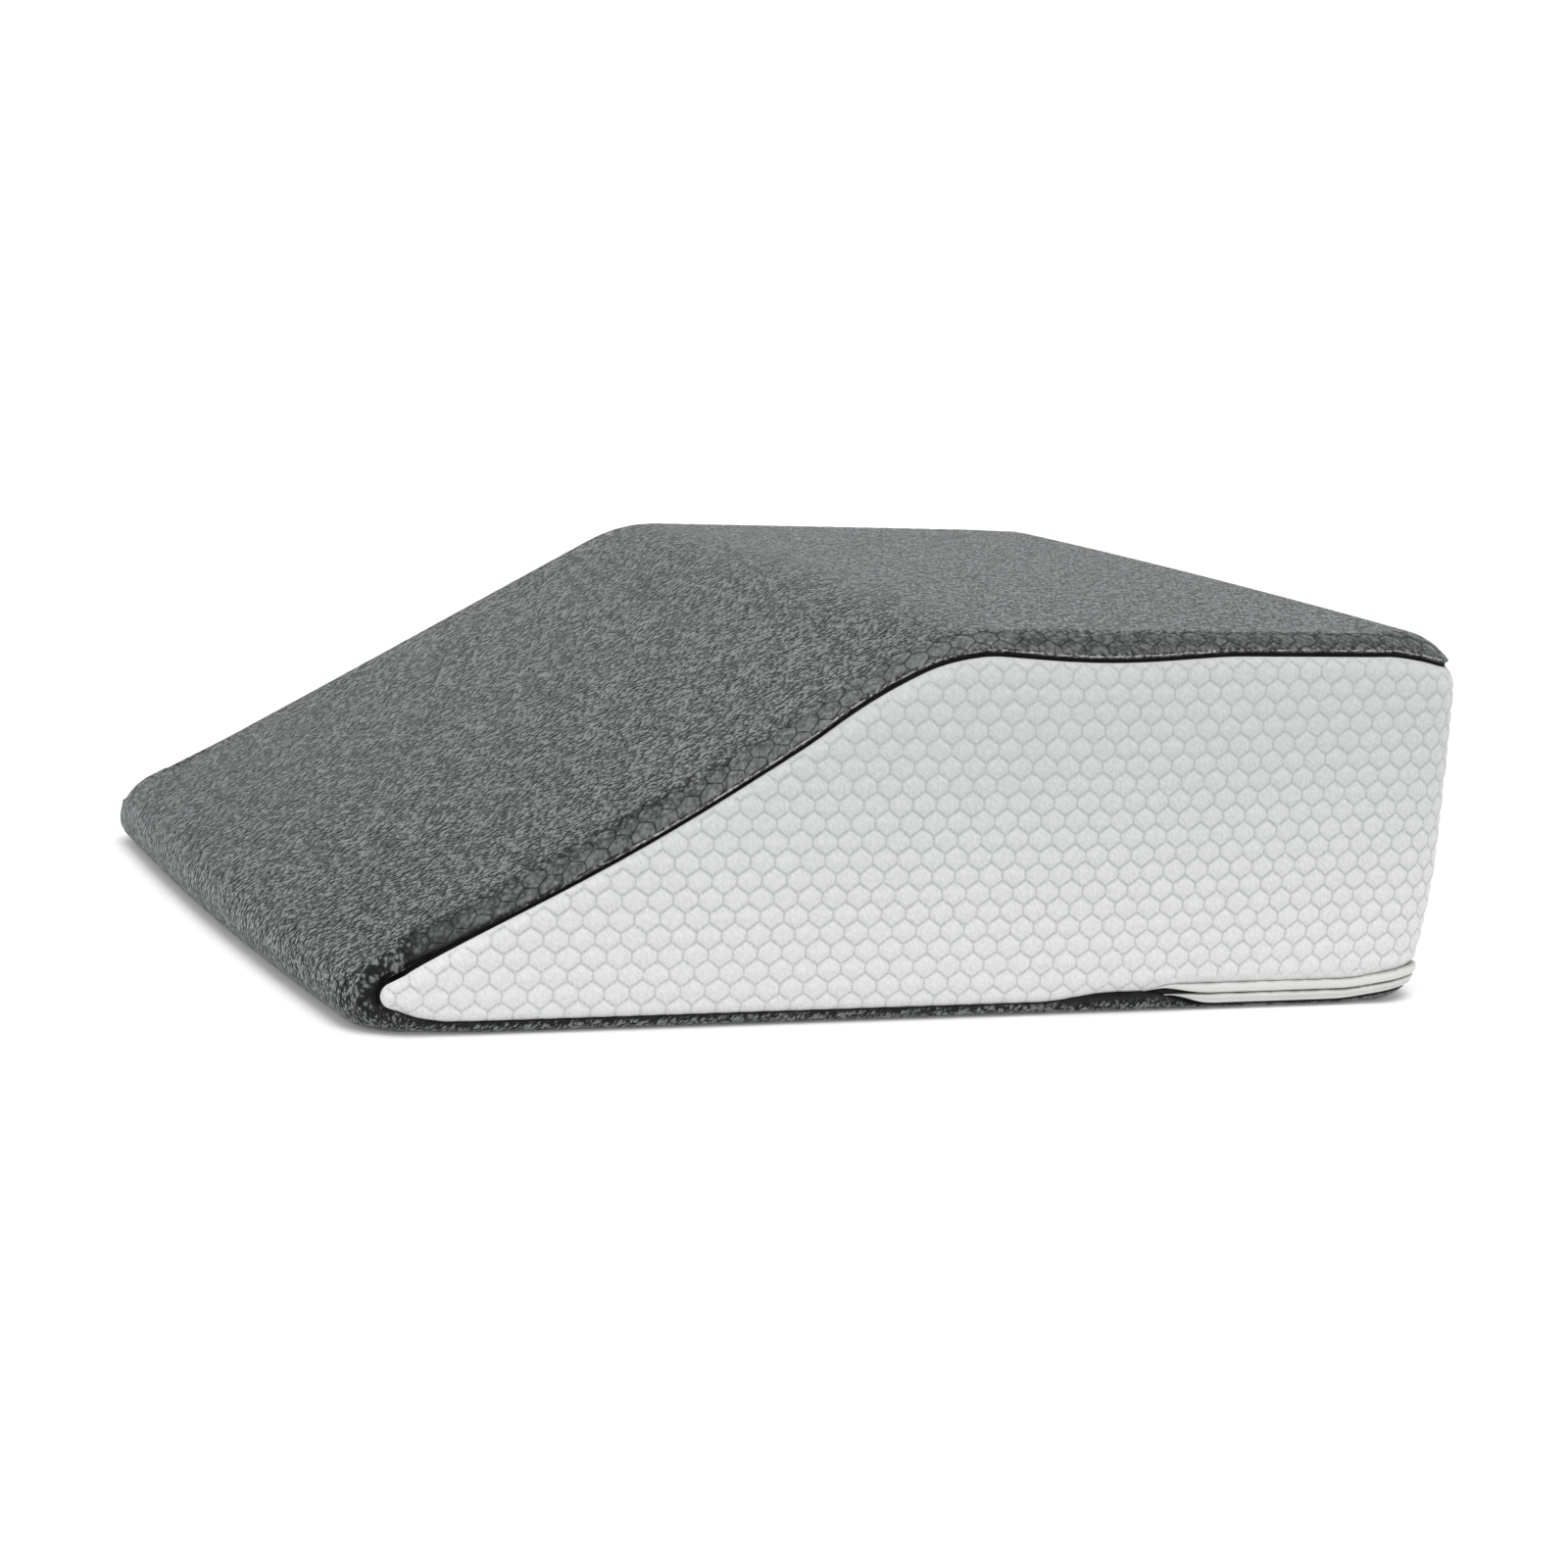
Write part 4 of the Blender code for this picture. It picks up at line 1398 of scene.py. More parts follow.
        for i in range(self.base_rows + 1):
            row((low - self.base_gap) * (i / self.base_rows) ** 2, 0.0)
        for lift, share in self.low_tuck:
            row(low + lift, tucked * share)
        for share in self.tuck_middles:
            row(low + (top - low) * share, tucked)
        for lift, share in self.top_tuck:
            row(top + lift, tucked * share)
        row(top + self.seam_gap, 0.0)
        rise = np.clip((top + self.seam_gap - shape.start_height) / shape.roll_down, 0, 0.999)
        first = np.arcsin(rise)
        cap = np.arccos(np.clip(1 - self.corner_cap / shape.roll_in, -1, 1))
        corner = bump(s, form.back_corner_s, form.back_corner_radius * self.cap_reach_in_radii)
        last = shape.last_angle + (np.minimum(cap, shape.last_angle) - shape.last_angle) * (
            corner > 0)
        insets = [form.surface_inset(s, z) for z in z_rows]
        for i in range(1, self.roll_rows + 1):
            angle = first + (last - first) * i / self.roll_rows
            row(shape.start_height + shape.roll_down * np.sin(angle), 0.0)
            insets.append(shape.roll_in * (1 - np.cos(angle)))
        return np.array(z_rows), np.array(offsets), np.array(insets)

    def build(self, material: bpy.types.Material) -> bpy.types.Object:
        """Makes the cover.

        Args:
            material: the grey knit.

        Returns:
            The piece.
        """
        form = self.form
        s = self.stations()
        z, offset, inset = self.rows(s)
        x0, y0, out_x, out_y = form.outline(s)
        plan_x, plan_y = x0 - out_x * (inset - offset), y0 - out_y * (inset - offset)
        walls = form.settle(plan_x, plan_y, z)
        steps = np.sqrt(np.diff(plan_x, axis=0) ** 2 + np.diff(plan_y, axis=0) ** 2
                        + np.diff(z, axis=0) ** 2)
        climb = np.concatenate([np.cumsum(steps[::-1], axis=0)[::-1], np.zeros((1, len(s)))])
        last_x, last_y = x0 - out_x * inset[-1], y0 - out_y * inset[-1]
        uv_u = form.cloth_run(last_x) + out_x * climb
        uv_v = last_y + out_y * climb
        _, top = self.seams.white_edges(s)
        relief, near, pocket = self.relief(s, z, uv_u, uv_v, climb[self.seam_row] - climb, top)

        rows, near_count = z.shape
        far = slice(near_count - 2, 0, -1)

        def both(a: Array) -> Array:
            """Adds the far half's columns, the near half's in reverse."""
            return np.concatenate([a, a[:, far]], axis=1)

        def around(x: Array, y: Array) -> Array:
            """Plan points of one closed row from its near half."""
            plan = np.stack([x, y], axis=1)
            return np.concatenate([plan, plan[far] * (1, -1)])

        ring = np.concatenate([walls, walls[:, far] * (1, -1, 1)], axis=1)
        uv = np.stack([both(uv_u), np.concatenate([uv_v, -uv_v[:, far]], axis=1)], axis=-1)
        relief, pocket = both(relief), both(pocket)
        tip_half = slice(near_count + int(np.sum(s > self.seams.tip_s + self.far_share_reach)),
                         None)
        high = both(z - top)[:, tip_half] > self.seam_gap
        for values in (relief, pocket):
            values[:, tip_half] = np.where(high, self.far_share, 1.0) * values[:, tip_half]
        parts = MeshParts()
        parts.add(ring)
        parts.add_grid(rows, ring.shape[1], 0, True, False)
        uvs, reliefs = [uv.reshape(-1, 2)], [relief.ravel()]
        nears, painted_shades = [both(near).ravel()], [pocket.ravel()]

        # The top inside the rolled edge
        grid = self.plan_grid(self.inner_step)
        edge_s, depth = form.nearest_edge(grid[:, 0], -np.abs(grid[:, 1]))
        margin = self.inner_step * self.inner_margin_in_steps
        inner = grid[depth > np.interp(edge_s, s, inset[-1]) + margin]
        fresh = self.fill(parts, around(last_x, last_y), inner, form.top_point,
                          (rows - 1) * ring.shape[1], False)
        uvs.append(np.stack([form.cloth_run(fresh[:, 0]), fresh[:, 1]], axis=1))
        edge_s, depth = form.nearest_edge(fresh[:, 0], -np.abs(fresh[:, 1]))
        inward = depth - np.interp(edge_s, s, inset[-1])
        nears.append(self.nearness(edge_s, np.interp(edge_s, s, climb[self.seam_row]) + inward))
        for store in (reliefs, painted_shades):
            store.append(np.zeros(len(fresh)))

        # The flat base
        grid = self.plan_grid(self.base_step)
        _, depth = form.nearest_edge(grid[:, 0], -np.abs(grid[:, 1]))
        fresh = self.fill(parts, around(plan_x[0], plan_y[0]), grid[depth > self.base_margin],
                          form.base_point, 0, True)
        uvs.append(fresh + (2.0, 0.0))
        for store in (reliefs, nears, painted_shades):
            store.append(np.zeros(len(fresh)))

        mesh = parts.mesh("grey_cover")
        push_out(mesh, np.concatenate(reliefs))
        set_uv(mesh, np.concatenate(uvs))
        set_attribute(mesh, "near_seam", np.concatenate(nears))
        # The mesh holds the mask of painted shade.
        set_attribute(mesh, "pocket", np.concatenate(painted_shades))
        return place("grey_cover", mesh, material)

    def nearness(self, s: Array, from_seam: Array) -> Array:
        """How clearly the quilting shows: most at the seam with the white cloth.

        Args:
            s: distances along the edge.
            from_seam: length of cloth from that seam.

        Returns:
            Numbers from 0 to 1.
        """
        near = (1 - smooth(from_seam, 0.002, self.puff_reach)) ** self.puff_fade
        return near * self.past_tip(s, -0.004, 0.030)

    def relief(self, s: Array, z: Array, u: Array, v: Array, from_seam: Array,
               top: Array) -> tuple[Array, Array, Array]:
        """How far the quilting and the puckers stand out, and where shade is painted on the cloth.

        Args:
            s: distances of the columns.
            z: heights of the points.
            u: cloth places along the length.
            v: cloth places across the width.
            from_seam: length of cloth from the seam with the white.
            top: height of that seam at each column.

        Returns:
            The relief, how clearly the quilting shows, and how much painted shade each point gets.
        """
        distance, _ = self.quilting.depth(u, np.abs(v))
        dome = 1 - (1 - np.minimum(1, distance / self.quilting.widest)) ** 2
        near = smooth(from_seam, 0.0, 0.0015) * self.nearness(s, from_seam)
        out, pull = self.tip_distance(s[None, :], z)
        relief = near * self.puff * (dome - self.dome_base)
        relief = relief + pull * (self.ridge.at(out) - self.hollow.at(out))
        low = np.where(s > self.seams.zip_start, self.seams.base(s), self.seams.low(s))
        trail = self.past_tip(s, 0.0, 0.01) * (1 - self.past_tip(s, 0.02, 0.13))
        # Painted shade round the white tip, beside the seams and in the tuck under the white.
        shades = (pull**0.6 * self.tip_shade.at(out),
                  pull**0.5 * self.wide_shade.at(out),
                  trail * self.trail_shade.at(z - top),
                  self.past_tip(s, -0.008, 0.0) * self.gap_shade.at(z - top),
                  self.past_tip(s, -0.006, 0.004) * self.under_shade.at(z - low),
                  self.tuck_along.at(s) * self.tuck_shade.at(z - low))
        return relief, near, np.maximum.reduce(shades)

    def plan_grid(self, step: float) -> Array:
        """Triangular grid of plan points over the footprint.

        Args:
            step: distance between points.

        Returns:
            One row of x and y for each point.
        """
        row_step = step * math.sqrt(3) / 2
        rows = round(self.form.width / row_step)
        columns = round(self.form.length / step)
        i, j = np.meshgrid(np.arange(columns + 1), np.arange(-(rows // 2), rows // 2 + 1))
        x = -self.form.half_length + (i + 0.5 * (j % 2)) * step
        grid = np.stack([x.ravel(), (j * row_step).ravel()], axis=1)
        inside = ((np.abs(grid[:, 0]) < self.form.half_length)
                  & (np.abs(grid[:, 1]) < self.form.half_width))
        return grid[inside]

    @staticmethod
    def fill(parts: MeshParts, border: Array, inner: Array,
             surface: Callable[[Array, Array], Array], ring_start: int, flip: bool) -> Array:
        """Fills a ring of points that the mesh already has.

        Args:
            parts: the mesh being made.
            border: the ring's plan points.
            inner: plan points inside it.
            surface: gives the points in space for places along and across.
            ring_start: index of the ring's first point in the mesh.
            flip: turns the faces over.

        Returns:
            The plan points that are new in the mesh.
        """
        verts, faces, index = flat_triangles(border, inner)
        fresh = np.setdiff1d(np.arange(len(verts)), index)
        points = surface(verts[:, 0], verts[:, 1])
        number = np.full(len(verts), -1)
        number[index] = ring_start + np.arange(len(index))
        number[fresh] = parts.add(points[fresh]) + np.arange(len(fresh))
        for face in faces:
            corners = tuple(int(number[i]) for i in face)
            parts.faces.append(corners[::-1] if flip else corners)
        return verts[fresh]


@dataclass
class QuiltedSide:
    """One length of the white quilted cloth, from the tip near the nose to the back's middle."""

    form: WedgeForm
    seams: Seams
    quilting: HexQuilting
    side: Side
    divisions: int = 4
    border_step: float = 0.0016
    margin: float = 0.0007
    puff: float = 0.00115
    puff_power: float = 2.3
    puff_least: float = 0.86
    puff_spread: float = 0.28
    groove_share: float = 0.10
    flat_rim: float = 0.0032
    flat_rim_share: float = 0.7
    swell: float = 0.0005
    swell_length: float = 0.110
    thread_lift: float = 0.00012
    rim_draw_in: float = 0.0013
    rim_width: float = 0.0052
    skirt: float = 0.0026
    end_gap: float = 0.00025
    wander: float = 0.00035
    wander_reach: float = 0.012
    wander_length_s: float = 0.047
    wander_length_z: float = 0.039
    flat_width: float = 0.190
    row_rise: float = 0.0042
    row_rise_start: float = 0.080
    row_rise_end: float = 0.280
    corner_draw_in: float = 0.0018
    corner_reach: float = 0.060
    corner_shift: float = 0.010
    bare_edge: tuple[float, float] = (0.0003, 0.0011)
    plain_band: float = 0.0036
    zip_blend: float = 0.02

    def border(self) -> Array:
        """The cloth's closed outline in s and height, anticlockwise."""
        seams, form = self.seams, self.form
        join, end = seams.tip_s + seams.tip_radius, form.centre_back_s
        along = np.linspace(join, end, round((end - join) / self.border_step) + 1)
        low = np.stack([along, seams.low(along)], axis=1)
        top = np.stack([along, seams.top(along)], axis=1)[::-1]
        up = np.linspace(low[-1, 1], top[0, 1],
                         round((top[0, 1] - low[-1, 1]) / self.border_step) + 1)[1:-1]
        rise = np.stack([np.full(len(up), end), up], axis=1)
        tip = seams.tip_arc(np.linspace(seams.tip_top_turn, seams.tip_low_turn,
                                        seams.tip_points))
        return np.concatenate([low, rise, top, np.stack(tip, axis=1)])

    def drift(self, s: Array) -> Array:
        """How far the rows of quilting have risen along the cloth."""
        return self.row_rise * smooth(s, self.row_rise_start, self.row_rise_end)

    def edge_distance(self, s: Array, z: Array) -> Array:
        """How far inside the cloth's outline points are, below 0 outside.

        Args:
            s: distances along the edge.
            z: heights.

        Returns:
            The distances.
        """
        seams = self.seams
        low, top = seams.white_edges(s)
        inside_s = np.maximum(s, seams.tip_s + seams.tip_radius)
        slopes = [slope_of(line, inside_s, 1e-4) for line in (seams.low, seams.top)]
        below = (z - low) / np.hypot(1, slopes[0])
        above = (top - z) / np.hypot(1, slopes[1])
        distance = np.minimum(np.minimum(below, above), self.form.centre_back_s - s)
        tip = seams.tip_radius - np.hypot(s - seams.tip_s, z - seams.tip_height)
        return np.where(s < seams.tip_s, np.minimum(distance, tip), distance)

    def past_zip(self, s: Array) -> Array:
        """Goes from 0 to 1 where the zip opening starts."""
        return smooth(s, self.seams.zip_start, self.seams.zip_start + self.zip_blend)

    def bed(self, s: Array, z: Array) -> Array:
        """How far out the grooves of the quilting lie: drawn in at the rim, swollen inside.

        Args:
            s: distances along the edge.
            z: heights.

        Returns:
            The distances out from the wall.
        """
        rim = 1 - smooth(self.edge_distance(s, z), 0.0, self.rim_width)
        swell = self.swell * ripple(s, z, self.swell_length, 1.3) * (1 - rim)
        return swell - self.groove_share * self.puff - self.rim_draw_in * rim**1.5

    def surface(self, s: Array, z: Array, offset: Union[Array, float]) -> Array:
        """Points on the cloth, with the quilting a little uneven.

        Args:
            s: distances along the edge.
            z: heights.
            offset: how far out each point is.

        Returns:
            One row of three coordinates for each point.
        """
        ease = smooth(self.edge_distance(s, z), 0.0, self.wander_reach) * self.wander
        corner = bump(s, self.form.back_corner_s + self.corner_shift, self.corner_reach)
        offset = offset - self.corner_draw_in * corner
        moved_s = s + ease * ripple(s, z, self.wander_length_s, 0.4)
        moved_z = z + ease * ripple(s, z, self.wander_length_z, 2.2)
        end = self.form.centre_back_s - self.end_gap
        return self.form.wall_point(np.minimum(moved_s, end), moved_z, offset, self.side)

    def build(self, material: bpy.types.Material) -> bpy.types.Object:
        """Makes the quilted cloth.

        Args:
            material: the white cloth's finish.

        Returns:
            The piece.
        """
        border = self.border()
        low, high = border.min(axis=0), border.max(axis=0)
        points = self.quilting.mesh_points((low[0], low[1] - self.row_rise), tuple(high),
                                           self.divisions)
        points[:, 1] += self.drift(points[:, 0])
        points = points[(points > low).all(axis=1) & (points < high).all(axis=1)]
        points = points[self.edge_distance(points[:, 0], points[:, 1]) > self.margin]
        verts, faces, index = flat_triangles(border, points)
        s, z = verts[:, 0], verts[:, 1]
        inside = self.edge_distance(s, z)
        depth, tag = self.quilting.depth(s, z - self.drift(s))
        share = np.minimum(1, depth / self.quilting.widest)
        dome = (1 - (1 - share) ** self.puff_power) * (self.puff_least + self.puff_spread * tag)
        dome = dome * (1 - self.flat_rim_share * (1 - smooth(inside, 0.0, self.flat_rim)))
        parts = MeshParts()
        parts.add(self.surface(s, z, self.puff * dome + self.bed(s, z)))
        flip = self.side is Side.FAR
        parts.faces.extend(tuple(f[::-1]) if flip else tuple(f) for f in faces)
        skirt = parts.add(self.surface(border[:, 0], border[:, 1], -self.skirt))
        for i in range(len(border)):
            j = (i + 1) % len(border)
            quad = (int(index[j]), int(index[i]), skirt + i, skirt + j)
            parts.faces.append(quad[::-1] if flip else quad)
        name = f"quilted_side_{self.side.value}"
        mesh = parts.mesh(name)
        uv = np.concatenate([verts, border])
        uv[:, 1] -= self.drift(uv[:, 0])
        set_uv(mesh, uv)
        band = 1 - smooth(z - self.seams.low(s), self.plain_band * 0.8, self.plain_band * 1.5)
        near_edge = np.maximum(1 - smooth(inside, *self.bare_edge), self.past_zip(s) * band)
        set_attribute(mesh, "near_edge", np.concatenate([near_edge, np.ones(len(border))]))
        return place(name, mesh, material)

    def flat_size(self) -> tuple[tuple[float, float], float]:
        """The flat cut.

        Returns:
            The cut's width and length, and its area.
        """
        border = self.border()
        s, z = border[:, 0], border[:, 1]
        area = abs(float(np.sum(s * np.roll(z, -1) - z * np.roll(s, -1)))) / 2
        return (self.flat_width, float(s.max() - s.min())), area

    def thread_lines(self, upright: bool) -> bpy.types.Mesh:
        """The quilting's stitched sides as bare edges on the cloth.

        Args:
            upright: takes the upright sides, and otherwise the slanted ones.

        Returns:
            A mesh of edges for the stitches to follow.
        """
        border = self.border()
        low, high = border.min(axis=0), border.max(axis=0)
        slanted, uprights = self.quilting.threads((low[0], low[1] - self.row_rise), tuple(high))
        lines = uprights if upright else slanted
        shares = np.linspace(0, 1, 2 if upright else 5)
        points = lines[:, None, :2] + (lines[:, None, 2:] - lines[:, None, :2]) * shares[:, None]
        points[..., 1] += self.drift(points[..., 0])
        inside = self.edge_distance(points[..., 0], points[..., 1]) > self.margin
        above = points[..., 1] - self.seams.low(points[..., 0])
        inside &= above > self.plain_band * self.past_zip(points[..., 0])
        pairs = inside[:, :-1] & inside[:, 1:]
        points = np.stack([points[:, :-1][pairs], points[:, 1:][pairs]], axis=1).reshape(-1, 2)
        first, number = weld(points)
        s, z = points[first].T
        placed = self.surface(s, z, self.bed(s, z) + self.thread_lift)
        mesh = bpy.data.meshes.new("thread_lines")
        mesh.from_pydata(placed.tolist(), number.reshape(-1, 2).tolist(), [])
        return mesh


class Stitch(NamedTuple):
    """Sizes of one kind of stitch."""

    spacing: float
    length: float
    width: float


@dataclass
class QuiltingStitches:
    """Stitches of grey thread along a length of quilted cloth, made by Geometry Nodes."""

    side: Side
    upright: bool
    stitch: Stitch
    seed: int = 11
    least_scale: float = 0.82
    most_scale: float = 1.12

    def tree(self, material: bpy.types.Material) -> bpy.types.GeometryNodeTree:
        """Node tree that lays one small stitch after another along each line.

        Args:
            material: the thread's finish.

        Returns:
            The tree, with named inputs for its sizes.
        """
        tree = bpy.data.node_groups.new("stitches_along_lines", "GeometryNodeTree")
        for name, way, kind in (
                ("Geometry", "INPUT", "Geometry"), ("Spacing", "INPUT", "Float"),
                ("Stitch Length", "INPUT", "Float"), ("Stitch Width", "INPUT", "Float"),
                ("Seed", "INPUT", "Int"), ("Geometry", "OUTPUT", "Geometry")):
            tree.interface.new_socket(name, in_out=way, socket_type=f"NodeSocket{kind}")

        def add(kind: str, settings: Optional[dict[str, Any]] = None,
                inputs: Optional[dict[Union[str, int], Any]] = None) -> bpy.types.Node:
            """Adds a node with these settings and values."""
            made = tree.nodes.new(kind)
            for name, value in (settings or {}).items():
                setattr(made, name, value)
            for name, value in (inputs or {}).items():
                made.inputs[name].default_value = value
            return made

        given, finished = add("NodeGroupInput"), add("NodeGroupOutput")
        curve = add("GeometryNodeMeshToCurve")
        spaced = add("GeometryNodeResampleCurve", {"mode": "LENGTH"})
        tangent = add("GeometryNodeInputTangent")
        turn = add("FunctionNodeAlignRotationToVector", {"axis": "X"})
        bead = add("GeometryNodeMeshIcoSphere", None, {"Radius": 0.5, "Subdivisions": 1})
        size = add("ShaderNodeCombineXYZ")
        vary = add("FunctionNodeRandomValue", {"data_type": "FLOAT"},
                   {2: self.least_scale, 3: self.most_scale})
        grow = add("ShaderNodeVectorMath", {"operation": "SCALE"})
        laid = add("GeometryNodeInstanceOnPoints")
        real = add("GeometryNodeRealizeInstances")
        soft = add("GeometryNodeSetShadeSmooth")
        dress = add("GeometryNodeSetMaterial", None, {"Material": material})
        for source, output, target, socket in (
                (given, "Geometry", curve, "Mesh"), (curve, "Curve", spaced, "Curve"),
                (given, "Spacing", spaced, "Length"), (tangent, "Tangent", turn, "Vector"),
                (given, "Stitch Length", size, "X"), (given, "Stitch Width", size, "Y"),
                (given, "Stitch Width", size, "Z"), (given, "Seed", vary, "Seed"),
                (size, "Vector", grow, 0), (vary, 1, grow, "Scale"),
                (spaced, "Curve", laid, "Points"), (bead, "Mesh", laid, "Instance"),
                (turn, "Rotation", laid, "Rotation"), (grow, "Vector", laid, "Scale"),
                (laid, "Instances", real, "Geometry"), (real, "Geometry", soft, "Geometry"),
                (soft, "Geometry", dress, "Geometry"),
                (dress, "Geometry", finished, "Geometry")):
            tree.links.new(source.outputs[output], target.inputs[socket])
        return tree

    def build(self, lines: bpy.types.Mesh, material: bpy.types.Material) -> bpy.types.Object:
        """Makes the stitches.

        Args:
            lines: the bare edges that the stitches follow.
            material: the thread's finish.

        Returns:
            The piece, as a plain mesh.
        """
        kind = "upright" if self.upright else "zigzag"
        name = f"stitches_{kind}_{self.side.value}"
        guide = link("stitch_guide", lines)
        modifier = guide.modifiers.new("stitches", "NODES")
        tree = self.tree(material)
        modifier.node_group = tree
        sizes = {"Spacing": self.stitch.spacing, "Stitch Length": self.stitch.length,
                 "Stitch Width": self.stitch.width, "Seed": self.seed}
        for item in tree.interface.items_tree:
            if item.in_out == "INPUT" and item.name in sizes:
                modifier[item.identifier] = sizes[item.name]
        bpy.context.view_layer.update()
        graph = bpy.context.evaluated_depsgraph_get()
        mesh = bpy.data.meshes.new_from_object(guide.evaluated_get(graph), depsgraph=graph)
        guide.modifiers.clear()
        bpy.data.objects.remove(guide)
        mesh.name = name
        return place(name, mesh, material)


@dataclass
class SeamLip:
    """The narrow folded lip of grey cloth just above the white cloth's top seam."""

    form: WedgeForm
    seams: Seams
    radius: float = 0.00042
    height: float = 0.0033
    offset: float = -0.0001
    step: float = 0.0016
    lead: float = 0.085
    sides: int = 6
    wobble: float = 0.00025
    wobble_length: float = 0.021
    uneven: float = 0.45
    uneven_length: float = 0.0075
    taper: float = 0.040

    def build(self, material: bpy.types.Material) -> bpy.types.Object:
        """Makes the lip, round the near side, the back and the far side in one run.

        Args:
            material: the lip's finish.

        Returns:
            The piece.
        """
        form, seams = self.form, self.seams
        start, end = seams.tip_s + self.lead, form.centre_back_s
        along = np.linspace(start, end, round((end - start) / self.step) + 1)
        wobble = self.wobble * ripple(along, 0 * along, self.wobble_length, 0.9)
        z = seams.top(along) + self.height + wobble
        line = round_trip(*(form.wall_point(along, z, self.offset, side) for side in Side))
        ahead = np.gradient(line, axis=0)
        ahead /= np.linalg.norm(ahead, axis=1)[:, None]
        up = np.array([0.0, 0.0, 1.0]) - ahead * ahead[:, 2:3]
        up /= np.linalg.norm(up, axis=1)[:, None]
        out = np.cross(ahead, up)
        travel = np.arange(len(line)) * self.step
        uneven = self.uneven * ripple(travel, 0 * travel, self.uneven_length, 1.1)
        thick = self.radius * (1 + uneven)
        ends = smooth(np.minimum(travel, travel[::-1]), -0.003, self.taper)
        turns = np.linspace(0, 2 * math.pi, self.sides, endpoint=False)
        rings = (line[:, None, :]
                 + (thick * ends)[:, None, None] * (np.cos(turns)[:, None] * out[:, None, :]
                                                    + np.sin(turns)[:, None] * up[:, None, :]))
        parts = MeshParts()
        parts.add_tube(rings)
        return place("seam_lip", parts.mesh("seam_lip"), material)


class Strip(Enum):
    """The two strips that close over the zip."""

    UPPER = "upper"
    LOWER = "lower"


@dataclass
class ZipStrip:
    """One plain folded strip over the zip, from one side round the back to the other side."""

    form: WedgeForm
    seams: Seams
    which: Strip
    fit: float = 0.0004
    thickness: float = 0.0028
    step: float = 0.0022
    start_share: float = 0.10
    start_thickness_share: float = 0.45
    least_height: float = 0.0003
    least_upper: float = 0.0014
    upper_lead: float = 0.001
    lower_lead: float = 0.007
    fold_fade: tuple[float, float] = (0.004, 0.040)
    uv_step: float = 0.002
    wobble: float = 0.00015
    wobble_length: float = 0.06

    @property
    def start(self) -> float:
        """Where the strip begins on the side."""
        upper = self.which is Strip.UPPER
        return self.seams.zip_start + (self.upper_lead if upper else self.lower_lead)

    @property
    def section(self) -> tuple[tuple[float, float, float], ...]:
        """Outer section from low to high: offset, share of the height, and painted shade where the
        cloth folds in.
        """
        if self.which is Strip.UPPER:
            return ((-0.0022, 0.00, 1.0), (-0.0004, 0.03, 0.7), (0.0006, 0.14, 0.0),
                    (0.0010, 0.34, 0.0), (0.0009, 0.60, 0.0), (0.0006, 0.82, 0.0),
                    (-0.0002, 0.95, 0.55), (-0.0020, 1.00, 0.8))
        return ((-0.0022, 0.00, 0.4), (-0.0006, 0.05, 0.0), (0.0006, 0.18, 0.0),
                (0.0008, 0.32, 0.0), (0.0002, 0.46, 0.10), (0.0001, 0.52, 0.12),
                (0.0008, 0.64, 0.0), (0.0008, 0.80, 0.0), (0.0000, 0.95, 0.6),
                (-0.0022, 1.00, 1.0))

    def edges(self, s: Array) -> tuple[Array, Array]:
        """Heights of the strip's lower and upper edge.

        Args:
            s: distances along the edge.

        Returns:
            The lower heights and the upper heights.
        """
        seams = self.seams
        top = seams.low(s) - self.fit / 2
        parting = np.minimum(seams.zip_parting + seams.zip_rise(s),
                             seams.low(s) - self.least_upper)
        if self.which is Strip.UPPER:
            return parting, top
        return seams.base(s) + self.fit / 2, parting - self.fit

    def build(self, material: bpy.types.Material) -> bpy.types.Object:
        """Makes the strip.

        Args:
            material: the strip's finish.

        Returns:
            The piece.
        """
        end = self.form.centre_back_s
        along = np.linspace(self.start, end, round((end - self.start) / self.step) + 1)
        low, high = self.edges(along)
        grown = smooth(along, self.start, self.start + self.seams.zip_lead_in)
        height = (high - low) * (self.start_share + (1 - self.start_share) * grown)
        height = np.maximum(height, self.least_height)
        thick = self.start_thickness_share + (1 - self.start_thickness_share) * grown
        shape = ((-self.thickness, 0.0, 1.0), *self.section, (-self.thickness, 1.0, 1.0))
        rings, fold_shades, uv = [], [], []
        for k, (offset, share, dark) in enumerate(shape):
            full = (offset + self.thickness) * thick - self.thickness
            full = full + self.wobble * ripple(along, share, self.wobble_length, 3.1)
            z = high - height * (1 - share)
            rings.append([self.form.wall_point(along, z, full, side) for side in Side])
            # Painted shade in the folds, fading in from the strip's start.
            fold_shades.append(dark * smooth(along - self.start, *self.fold_fade))
            uv.append(np.stack([along, z + self.uv_step * k], axis=1))
        fold, cloth = np.stack(fold_shades, axis=1), np.stack(uv, axis=1)
        parts = MeshParts()
        parts.add_tube(round_trip(*np.stack(rings, axis=2)))
        name = f"zip_strip_{self.which.value}_folded"
        mesh = parts.mesh(name)
        set_uv(mesh, round_trip(cloth, cloth).reshape(-1, 2))
        set_attribute(mesh, "fold", round_trip(fold, fold).ravel())
        return place(name, mesh, material)


